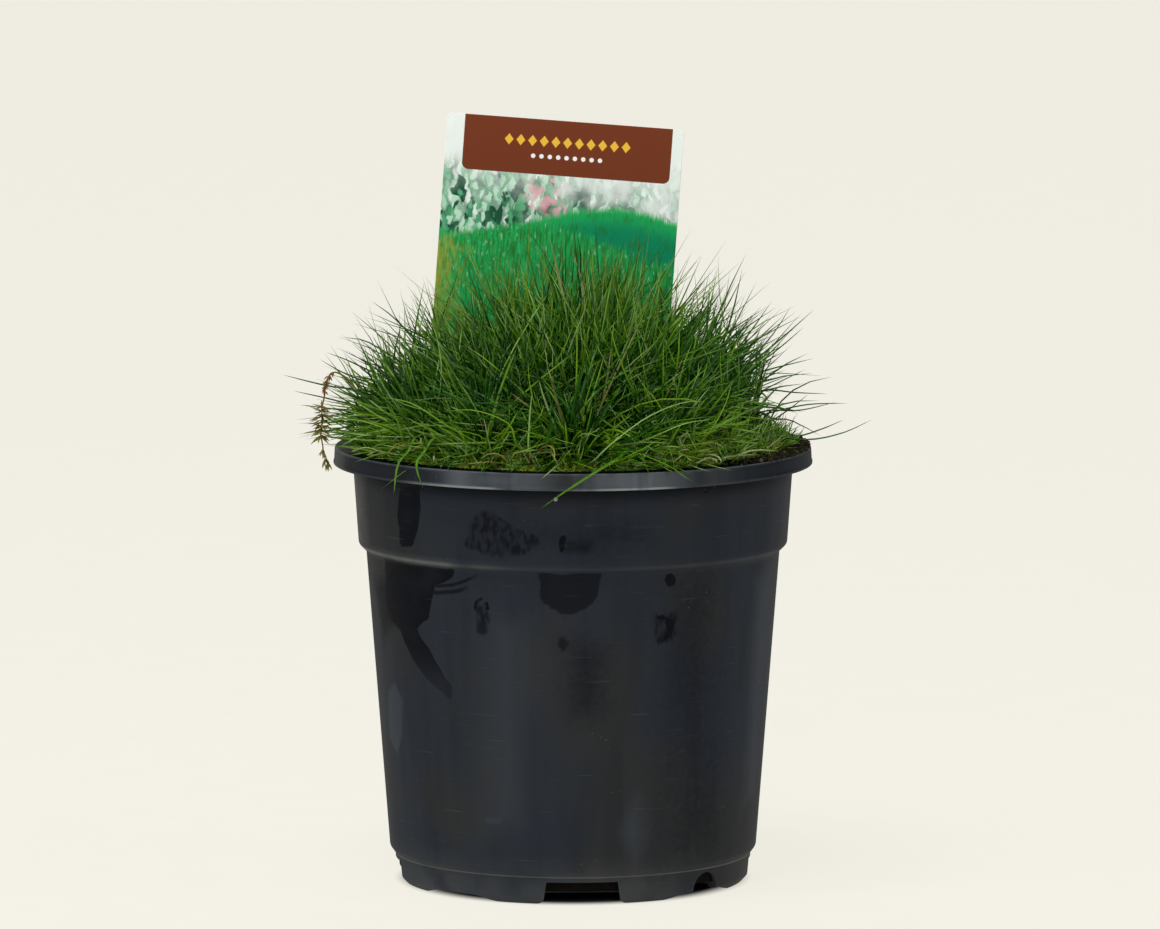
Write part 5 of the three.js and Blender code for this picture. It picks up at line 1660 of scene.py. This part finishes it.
        # Painted light: blades whose tips reach high are painted lighter, as if lit from above, and those
        # ending at the tussock's outside a little darker; the yellower low leaves on the given sides are
        # their own colour.
        lift = 0.22 * ease(tip_height, 0.178, 0.225) - 0.03 * outer
        yellow = 0.25 + towards(self.yellow_sides, math.degrees(angle))
        lift += yellow * (1 - ease(tip_height, 0.166, 0.188))
        tone = np.where(is_glinting, 1.1, np.clip(draw.normal(*self.tone, count) + lift, 0, 0.95))
        is_dry = draw.random(count) < self.dry_share
        return blades.numbered(count, tone=tone, dry=np.where(is_dry, draw.uniform(0.55, 1.0, count), 0.0))

    def build(self) -> None:
        """Grows every tuft, with the long leaves that start nearest to it."""
        finish = LeafFinish().material()
        stands = [
            (ring, math.radians(ring.start) + 2 * math.pi * i / ring.count)
            for ring in self.rings
            for i in range(ring.count)
        ]
        level = self.compost.level
        feet = np.array([around(a) * ring.radius + UP * level(ring.radius) for ring, a in stands])
        leaves: dict[int, list[Surface]] = {}
        for leaf in self.long_leaves:
            start = np.array(leaf.places[0][:2]) / 1000
            nearest = int(np.argmin(np.linalg.norm(feet[:, :2] - start, axis=1)))
            leaves.setdefault(nearest, []).append(leaf.build(feet[nearest]))
        for i, (ring, angle) in enumerate(stands):
            blades = self.grow(ring, angle, self.seed + i)
            tuft = Surface.joined([blades, *leaves.get(i, [])])
            number = f"{i + 1:02d}"
            ridden(tuft.to_object(f"grass_{number}", finish), "leaf", f"tuft_{number}")


class Habit(Enum):
    """How a dead leaf lies."""

    LYING = "lying"
    CURLED = "curled"


@dataclass
class DeadStraw:
    """Stools of bleached leaves by the rim, with loose straws that lie over the rim and the moss."""

    pot: NurseryPot
    compost: Compost
    stools: tuple[float, ...] = (222.0, 255.0, 306.0, 75.0)
    ring: float = 0.066
    leaves: int = 9
    length: tuple[float, float] = (0.01, 0.026)
    half_width: tuple[float, float] = (0.00028, 0.00048)
    stations: int = 9
    seed: int = 900
    # Loose straws: their stool, places in millimetres, and tone.
    loose: tuple[tuple[int, Rows, float], ...] = (
        (0, ((-77.5, -29, 156.4), (-72, -37, 158.6), (-65, -46, 157.2)), 0.1),
        (0, ((-72, -40, 156.3), (-68, -42, 158), (-61, -50, 157.2)), 0.2),
        (1, ((-22, -71, 156), (-24.6, -74, 160.2), (-29, -74.5, 161), (-32, -72, 158.4)), 0.75),
        (1, ((-26, -71, 155.8), (-28.5, -75, 158.4), (-31.4, -75.4, 157.6), (-29.8, -73, 155.8)), 0.9),
        (1, ((-28, -66, 157), (-29.5, -67, 166), (-31.4, -65, 174)), 0.35),
        (1, ((-14.5, -72, 156.2), (-16.5, -72.6, 160), (-19, -71, 165)), 0.3),
        (1, ((-6, -64, 158), (-8, -67, 165), (-11, -67, 170)), 0.95),
        (2, ((41, -62, 160), (37.5, -64, 163.2), (37.8, -65.5, 166), (40.6, -65, 167.6)), 0.0),
        (2, ((36, -64, 159.6), (38.6, -66, 161.4), (41.4, -63.5, 160.6)), 0.05),
        (2, ((19, -74, 156.2), (24, -74.5, 158), (30, -71.5, 157.2)), 0.2),
        (2, ((43, -66, 156.6), (47, -64.5, 158.2), (51, -60, 157)), 0.15),
        (2, ((54, -57, 157), (63, -50, 159.2), (72.5, -38, 157.4)), 0.1),
        (2, ((48, -61.5, 156.8), (57, -55, 158), (66, -45, 157)), 0.3),
        (3, ((10, 70, 156.6), (17, 73, 159), (26, 70, 157)), 0.2),
    )

    def drawn(self, foot: Array, angle: float, habit: Habit, draw: np.random.Generator) -> Array:
        """Routes of dead leaves from a foot: lying ones sag outwards, curled ones wind back.

        Args:
            foot: Where the stool stands.
            angle: The direction outwards, in radians.
            habit: How the leaves lie.
            draw: The seeded random numbers.

        Returns:
            Stations of shape (N, stations, 3).
        """
        count = self.leaves if habit is Habit.LYING else self.leaves // 4
        heading = around(angle + draw.uniform(-1.7, 1.7, count))
        length = draw.uniform(*self.length, (count, 1)) * (1.0 if habit is Habit.LYING else 0.5)
        rise = draw.uniform(0.002, 0.011, (count, 1))
        back = np.cross(UP, heading) * length * draw.normal(size=(count, 1)) * 0.35
        end = 0.25 if habit is Habit.CURLED else 1.0
        corners = [
            foot + heading * 0.001,
            foot + heading * length * 0.3 + UP * (rise + 0.003),
            foot + heading * length * 0.9 + UP * (rise + 0.002) + back,
            foot + heading * length * end + UP * (0.0028 + rise * 0.5) + back * 1.6,
        ]
        return bezier(corners, np.linspace(0, 1, self.stations))

    def build(self) -> None:
        """Makes each stool with its share of the loose straws."""
        pot, compost = self.pot, self.compost
        finish = StrawFinish().material()
        for index, degrees in enumerate(self.stools):
            draw = np.random.default_rng(self.seed + index)
            angle = math.radians(degrees)
            foot = around(angle) * self.ring + UP * (compost.level(self.ring) - 0.001)
            routes = [self.drawn(foot, angle, habit, draw) for habit in Habit]
            own = [(places, tone) for stool, places, tone in self.loose if stool == index]
            tones = [tone for _, tone in own]
            own = [smooth_route(np.array(places) / 1000, self.stations)[None] for places, _ in own]
            routes = np.concatenate(routes + own)
            radius = from_axis(routes)
            over_rim = (radius > pot.collar_foot[0] - 0.005) & (radius < pot.rim_radius + 0.002)
            floor = np.where(over_rim, pot.height + 0.0006, compost.level(radius) + 0.0004)
            routes[..., 2] = np.maximum(routes[..., 2], floor)
            share = np.linspace(0, 1, self.stations)
            widths = draw.uniform(*self.half_width, (len(routes), 1)) * (1 - share**3) ** 0.7
            facing = unit(np.cross(routes[:, -1] - routes[:, 0], UP) + [0.01, 0.0, 0.3])
            tone = np.append(draw.random(len(routes) - len(tones)), tones)
            straw = sweep(routes, widths, FOLDED_LEAF, facing).numbered(len(routes), tone=tone)
            ridden(straw.to_object(f"dead_straw_{index + 1}", finish), "straw", f"straw_{index + 1}")


@dataclass
class Moss:
    """Cushions of moss on the compost inside the rim: low mounds under a pile of fine pointed leaves."""

    compost: Compost
    # Degrees from +X; distance from the middle, radius and rise in millimetres; leaves; mean tone.
    patches: Rows = (
        (297, 66, 10, 7.2, 2700, 0.72), (308, 64, 11.5, 9, 3300, 0.8),
        (321, 65.5, 9.5, 6, 1600, 0.55), (284, 71, 7, 4, 1350, 0.72),
        (270, 71.5, 6.8, 3.4, 1350, 0.6), (256, 71.2, 7, 3.6, 1350, 0.66),
        (241, 71.2, 7, 3.4, 1250, 0.6), (226, 71, 6.8, 3, 1000, 0.55),
        (334, 69.5, 8.5, 3, 1700, 0.22), (346, 70, 8, 2.4, 1400, 0.12),
        (357, 70.5, 7, 1.8, 700, 0.06), (36, 67, 8, 2.5, 600, 0.5), (104, 66, 8.5, 2.8, 600, 0.5),
        (168, 67, 8, 2.5, 600, 0.5), (200, 68, 7, 2.2, 400, 0.5),
    )
    edge: float = 0.0762
    length: tuple[float, float] = (0.0018, 0.0046)
    half_width: tuple[float, float] = (0.00022, 0.00034)
    seed: int = 70

    def heights(self, spots: Array) -> Array:
        """The moss's own surface: the compost, and for each patch a bell of its height and radius.

        Args:
            spots: Places of shape (..., 3).

        Returns:
            Heights in metres.
        """
        level = self.compost.level(from_axis(spots)) + self.compost.heap(spots[..., 0], spots[..., 1])
        for degrees, ring, size, rise, _, _ in self.patches:
            away = from_axis(spots - around(math.radians(degrees)) * ring / 1000)
            level = level + rise / 1000 * bell(away, size / 1000 * 0.75)
        return level

    def build(self) -> None:
        """Scatters short leaves over each patch, thickest in the middle."""
        draw = np.random.default_rng(self.seed)
        parts = []
        for degrees, ring, size, _, count, tone in self.patches:
            middle = around(math.radians(degrees)) * ring / 1000
            turn = around(draw.uniform(0, 2 * np.pi, count))
            foot = middle + turn * size / 1000 * np.sqrt(draw.random((count, 1)))
            foot = foot * np.minimum(1, self.edge / from_axis(foot))[:, None]
            foot[:, 2] = self.heights(foot) - 0.001
            lean = unit(draw.normal(size=(count, 3)) * 0.7 + UP)
            length = draw.uniform(*self.length, (count, 1))
            bend = foot + lean * length * 0.6
            tip = foot + lean * length + around(draw.uniform(0, 2 * np.pi, count)) * length * 0.35
            routes = np.stack([foot, bend, tip], axis=1)
            widths = draw.uniform(*self.half_width, (count, 1)) * np.array([1.0, 0.8, 0.0])
            pile = sweep(routes, widths, round_section(3), unit(np.cross(lean, draw.normal(size=(count, 3)))))
            parts.append(pile.numbered(count, tone=np.clip(draw.normal(tone, 0.22, count), 0, 1), dry=0.0))
        finish = LeafFinish(
            name="moss",
            deep=(0.03, 0.08, 0.004),
            middle=(0.16, 0.29, 0.01),
            bright=(0.52, 0.58, 0.04),
            # Painted shade: the moss's leaves are darker at their feet.
            shaded_base=(0.06, 0.075, 0.01),
            tip=(0.6, 0.62, 0.1),
        )
        ridden(Surface.joined(parts).to_object("moss_cushions", finish.material()), "leaf")


@dataclass
class Turf:
    """Short young blades between the outer tufts and the rim, and a bright sprig among them in front."""

    pot: NurseryPot
    moss: Moss
    blades: int = 4200
    inner: float = 0.059
    outer: float = 0.076
    length: tuple[float, float] = (0.005, 0.015)
    half_width: tuple[float, float] = (0.00022, 0.00036)
    sprig_foot: tuple[float, float, float] = (0.0115, -0.069, 0.152)
    sprig_top: tuple[float, float, float] = (0.0138, -0.0765, 0.1672)
    sprig_leaves: int = 46
    yellow_sides: Rows = ((-52.0, 26.0, 0.32), (-122.0, 22.0, 0.28))
    seed: int = 33

    def build(self) -> None:
        """Scatters the blades over a band inside the rim, and joins the sprig to them."""
        pot = self.pot
        draw = np.random.default_rng(self.seed)
        count = self.blades
        turn = draw.uniform(0, 2 * np.pi, count)
        foot = around(turn) * (self.outer - (self.outer - self.inner) * draw.random((count, 1)) ** 1.4)
        foot[:, 2] = self.moss.heights(foot) - 0.0008
        lean = unit(draw.normal(size=(count, 3)) * [0.95, 0.95, 0.25] + UP * 0.55)
        lean[:, 2] = np.abs(lean[:, 2])
        length = draw.uniform(*self.length, (count, 1))
        bend = foot + lean * length * 0.55
        tip = bend + unit(lean + draw.normal(size=(count, 3)) * 0.45) * length * 0.45
        share = np.linspace(0, 1, 5)
        routes = bezier([foot, foot + lean * length * 0.3, bend, tip], share)
        radius = from_axis(routes)
        floor = np.where(radius > pot.collar_top - 0.002, pot.height + 0.0005, 0.0)
        routes[..., 2] = np.maximum(routes[..., 2], floor)
        keep = (radius < pot.rim_radius - 0.002).all(axis=1)
        routes, count = routes[keep], int(keep.sum())
        widths = draw.uniform(*self.half_width, (count, 1)) * (1 - share**3) ** 0.8
        facing = unit(np.cross(routes[:, -1] - routes[:, 0], draw.normal(size=(count, 3))))
        blades = sweep(routes, widths, KEELED_LEAF, facing)
        yellow = towards(self.yellow_sides, np.degrees(np.arctan2(routes[:, 0, 1], routes[:, 0, 0])))
        tone = np.clip(draw.normal(0.62, 0.26, count) + yellow, 0, 1.08)
        blades.numbered(count, tone=tone, dry=np.where(draw.random(count) < 0.03, 0.9, 0.0))
        turf = Surface.joined([blades, *self.sprig(draw)])
        ridden(turf.to_object("young_turf", LeafFinish(name="young_leaf").material()), "leaf")

    def sprig(self, draw: np.random.Generator) -> list[Surface]:
        """A thin stem with bright needles that stand out round its upper end.

        Args:
            draw: The seeded random numbers.

        Returns:
            The stem and the needles.
        """
        foot, top = np.array(self.sprig_foot), np.array(self.sprig_top)
        stem = smooth_route(np.array([foot, (foot + top) / 2 + [0, 0.001, 0], top]), 8)
        parts = [sweep(stem[None], np.full((1, 8), 0.0003), round_section(6), np.array([[0.2, 0.1, 1.0]]))]
        count = self.sprig_leaves
        turn = np.arange(count) * GOLDEN_TURN
        rise = draw.uniform(-0.25, 0.9, count)
        out = unit(around(turn) + UP * rise[:, None])
        root = top - UP * draw.uniform(0, 0.0045, (count, 1))
        length = draw.uniform(0.0026, 0.0046, (count, 1))
        tip = root + out * length + UP * draw.normal(0, 0.0004, (count, 1))
        routes = np.stack([root, (root + tip) / 2, tip], axis=1)
        widths = np.full((count, 1), 0.00022) * np.array([1.0, 0.9, 0.0])
        parts.append(sweep(routes, widths, KEELED_LEAF, unit(np.cross(out, UP + 0.01))))
        return [part.numbered(1, tone=0.86, dry=0.0, along=0.6) for part in parts]


@dataclass
class WeedShoot:
    """The weed that hangs over the rim: a thin stem with tight whorls of small pointed leaves."""

    route: Rows = (
        (-67, -16, 147.5), (-68.5, -14, 160), (-74, -13, 173), (-81, -15.5, 181.5),
        (-85.6, -19, 182.6), (-87.4, -20, 177), (-88.6, -20, 168), (-88.6, -20, 158),
        (-86.2, -20, 148.8),
    )
    half_width: float = 0.00034
    stations: int = 46
    # Share of the way along the stem, leaf length in metres, leaves, how far they droop, and browning.
    whorls: Rows = (
        (0.56, 0.0018, 6, 0.8, 0.9), (0.585, 0.0022, 8, 0.9, 1.0), (0.61, 0.0024, 9, 0.9, 1.0),
        (0.635, 0.0024, 9, 1.0, 1.0), (0.66, 0.002, 7, 1.1, 0.9), (0.72, 0.0034, 9, 0.2, 0.35),
        (0.74, 0.0044, 10, 0.1, 0.4), (0.762, 0.0048, 11, 0.2, 0.5),
        (0.785, 0.0044, 10, 0.4, 0.55), (0.812, 0.005, 10, 0.3, 0.3),
        (0.838, 0.0058, 9, 0.4, 0.15), (0.865, 0.005, 8, 0.6, 0.1), (0.93, 0.0036, 6, 1.3, 0.15),
        (0.958, 0.0036, 6, 1.5, 0.1), (0.99, 0.0026, 9, 2.2, 0.25),
    )
    seed: int = 61

    def build(self) -> None:
        """Carries a round section along the stem, and sets leaves round it at each whorl."""
        draw = np.random.default_rng(self.seed)
        count = self.stations
        stations = smooth_route(np.array(self.route) / 1000, count)
        stations += 0.0002 * np.sin(np.arange(count)[:, None] * [1.3, 1.9, 0.0])
        widths = self.half_width * np.linspace([1.1], [0.7], count, axis=1)
        parts = [sweep(stations[None], widths, round_section(6), np.array([[0.2, 1.0, 0.1]]))]
        parts[0].numbers["tone"] = 0.9 * ease(parts[0].numbers["along"], 0.52, 0.62)
        for share, length, count, droop, brown in self.whorls:
            middle = stations[int(share * (self.stations - 1))]
            turn = draw.uniform(0, 2 * np.pi) + np.arange(count) * GOLDEN_TURN
            lengths = length * draw.uniform(0.7, 1.1, (count, 1))
            out = around(turn) - UP * (droop + draw.normal(0, 0.25, count))[:, None]
            root = middle + draw.normal(0, 0.00025, (count, 3))
            bend = root + unit(out) * lengths * 0.5
            tip = bend + unit(out + UP * draw.normal(-0.2, 0.4, (count, 1))) * lengths * 0.5
            routes = np.stack([root, (root + bend) / 2, bend, (bend + tip) / 2, tip], axis=1)
            shape = np.array([0.4, 0.9, 1.0, 0.6, 0.0])
            widths = (0.00016 + lengths * 0.055) * shape
            leaves = sweep(routes, widths, FOLDED_LEAF, np.tile(UP, (count, 1)) + 0.01)
            parts.append(leaves.numbered(count, tone=np.clip(brown + draw.normal(0, 0.2, count), 0, 1)))
        ridden(Surface.joined(parts).to_object("weed", ShootFinish().material()), "shoot", "weed_shoot")


@dataclass
class DewDrop:
    """A drop of water on the leaf that hangs over the front of the rim."""

    place: tuple[float, float, float] = (-0.00592, -0.09012, 0.14694)
    radius: float = 0.00065

    def build(self) -> None:
        """A sphere of longitude and latitude, drawn out a little downwards."""
        latitude = np.linspace(-np.pi / 2, np.pi / 2, 14)
        profile = np.stack([np.cos(latitude), np.sin(latitude) * 1.1], axis=-1) * self.radius
        profile[[0, -1], 0] = 0.0
        drop = lathe(profile, 20)
        drop.points += np.array(self.place)
        ridden(drop.to_object("dew_drop", WaterFinish().material()), None)


# The studio


@dataclass
class Studio:
    """A seamless pale sweep, soft lights and a long lens from a little above."""

    target: tuple[float, float, float] = (0.0025, 0.0, 0.148)
    distance: float = 3.5
    elevation: float = 7.0
    lens: float = 306.0
    paper: Colour = (0.879, 0.855, 0.768)
    albedo: Colour = (0.075, 0.073, 0.066)
    own_light: float = 0.925
    wall_at: float = 12.0
    pot_shade: tuple[float, float] = (0.054, 0.0645)
    aim: tuple[float, float, float] = (0.0, 0.0, 0.13)
    sky: Colour = (0.88, 0.94, 1.0)
    sky_strength: float = 0.16
    # Name, place, width and height in metres, watts and colour of each light.
    lights: tuple[tuple[str, tuple, tuple, float, Colour], ...] = (
        ("top_light", (-0.4, -0.7, 2.2), (1.0, 1.0), 30.0, (1.0, 0.985, 0.95)),
        ("left_light", (-2.2, -1.1, 0.9), (0.8, 1.6), 12.0, (0.95, 0.975, 1.0)),
        ("right_light", (2.3, -0.7, 0.8), (0.6, 1.4), 9.0, (0.93, 0.965, 1.0)),
        ("front_light", (-0.2, -3.9, 2.0), (3.6, 1.0), 34.0, (0.93, 0.965, 1.0)),
    )

    def sweep_paper(self) -> None:
        """Floor, bend and wall in one sheet, the section carried along X."""
        bend = np.linspace(0, np.pi / 2, 14)
        curve = np.stack([self.wall_at - 1.5 + 1.5 * np.sin(bend), 1.5 - 1.5 * np.cos(bend)], axis=-1)
        section = np.vstack([[[-self.wall_at, 0.0]], curve, [[self.wall_at, 6.0]]])
        x = np.array([-self.wall_at, self.wall_at])
        points = np.array([[px, y, z] for y, z in section for px in x])
        row = np.arange(len(section) - 1)[:, None] * 2
        sheet = Surface(points, [row + np.array([[0, 1, 3, 2]])])
        g = Graph("paper")
        place = g.place()
        grain = g.noise(place, 40.0, 3.0)
        colour = g.mix(g.band(grain, 0.3, 0.7, 0.01), self.albedo, self.paper)
        level = g.stretched(place, (1.0, 1.0, 0.0))
        away = g.node("ShaderNodeVectorMath", {0: level}, 1, operation="LENGTH")
        # The paper's glow fades under the pot: a painted contact shadow.
        lit = g.band(away, *self.pot_shade, self.own_light)
        g.done(Base_Color=colour, Roughness=0.95, Emission_Color=self.paper, Emission_Strength=lit)
        sheet.to_object("paper_sweep", g.material)

    def hang_lights(self) -> None:
        """Hangs an area light for each row of lights, turned to the middle of the plant."""
        for name, place, size, power, colour in self.lights:
            data = bpy.data.lights.new(name, "AREA")
            data.shape, (data.size, data.size_y) = "RECTANGLE", size
            data.energy, data.color = power, colour
            lamp = bpy.data.objects.new(name, data)
            lamp.location = place
            lamp.rotation_euler = (Vector(self.aim) - Vector(place)).to_track_quat("-Z", "Y").to_euler()
            bpy.context.scene.collection.objects.link(lamp)

    def build(self) -> None:
        """Sets the paper, the lights, the surroundings and the camera."""
        scene = bpy.context.scene
        self.sweep_paper()
        self.hang_lights()
        world = bpy.data.worlds.new("surroundings")
        world.use_nodes = True
        background = world.node_tree.nodes["Background"].inputs
        background["Color"].default_value = (*self.sky, 1.0)
        background["Strength"].default_value = self.sky_strength
        scene.world = world
        data = bpy.data.cameras.new("camera")
        data.lens, data.sensor_width, data.sensor_fit = self.lens, 36.0, "HORIZONTAL"
        data.clip_start, data.clip_end = 0.1, 30.0
        camera = bpy.data.objects.new("camera", data)
        up = math.radians(self.elevation)
        back = Vector((0.0, -math.cos(up), math.sin(up)))
        camera.location = Vector(self.target) + back * self.distance
        camera.rotation_euler = (-back).to_track_quat("-Z", "Y").to_euler()
        scene.collection.objects.link(camera)
        scene.camera = camera
        scene.view_settings.view_transform = "Standard"


def main() -> None:
    """Builds every sub-assembly in order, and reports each."""
    logging.basicConfig(level=logging.INFO, format="%(name)s: %(message)s")
    Studio().build()
    pot, label = NurseryPot(), Label()
    compost = Compost(pot)
    moss = Moss(compost)
    plant = (Tussock(pot, compost, label), moss, Turf(pot, moss), DeadStraw(pot, compost), WeedShoot())
    for part in (pot, compost, label, *plant, DewDrop()):
        part.build()


if __name__ == "__main__":
    main()
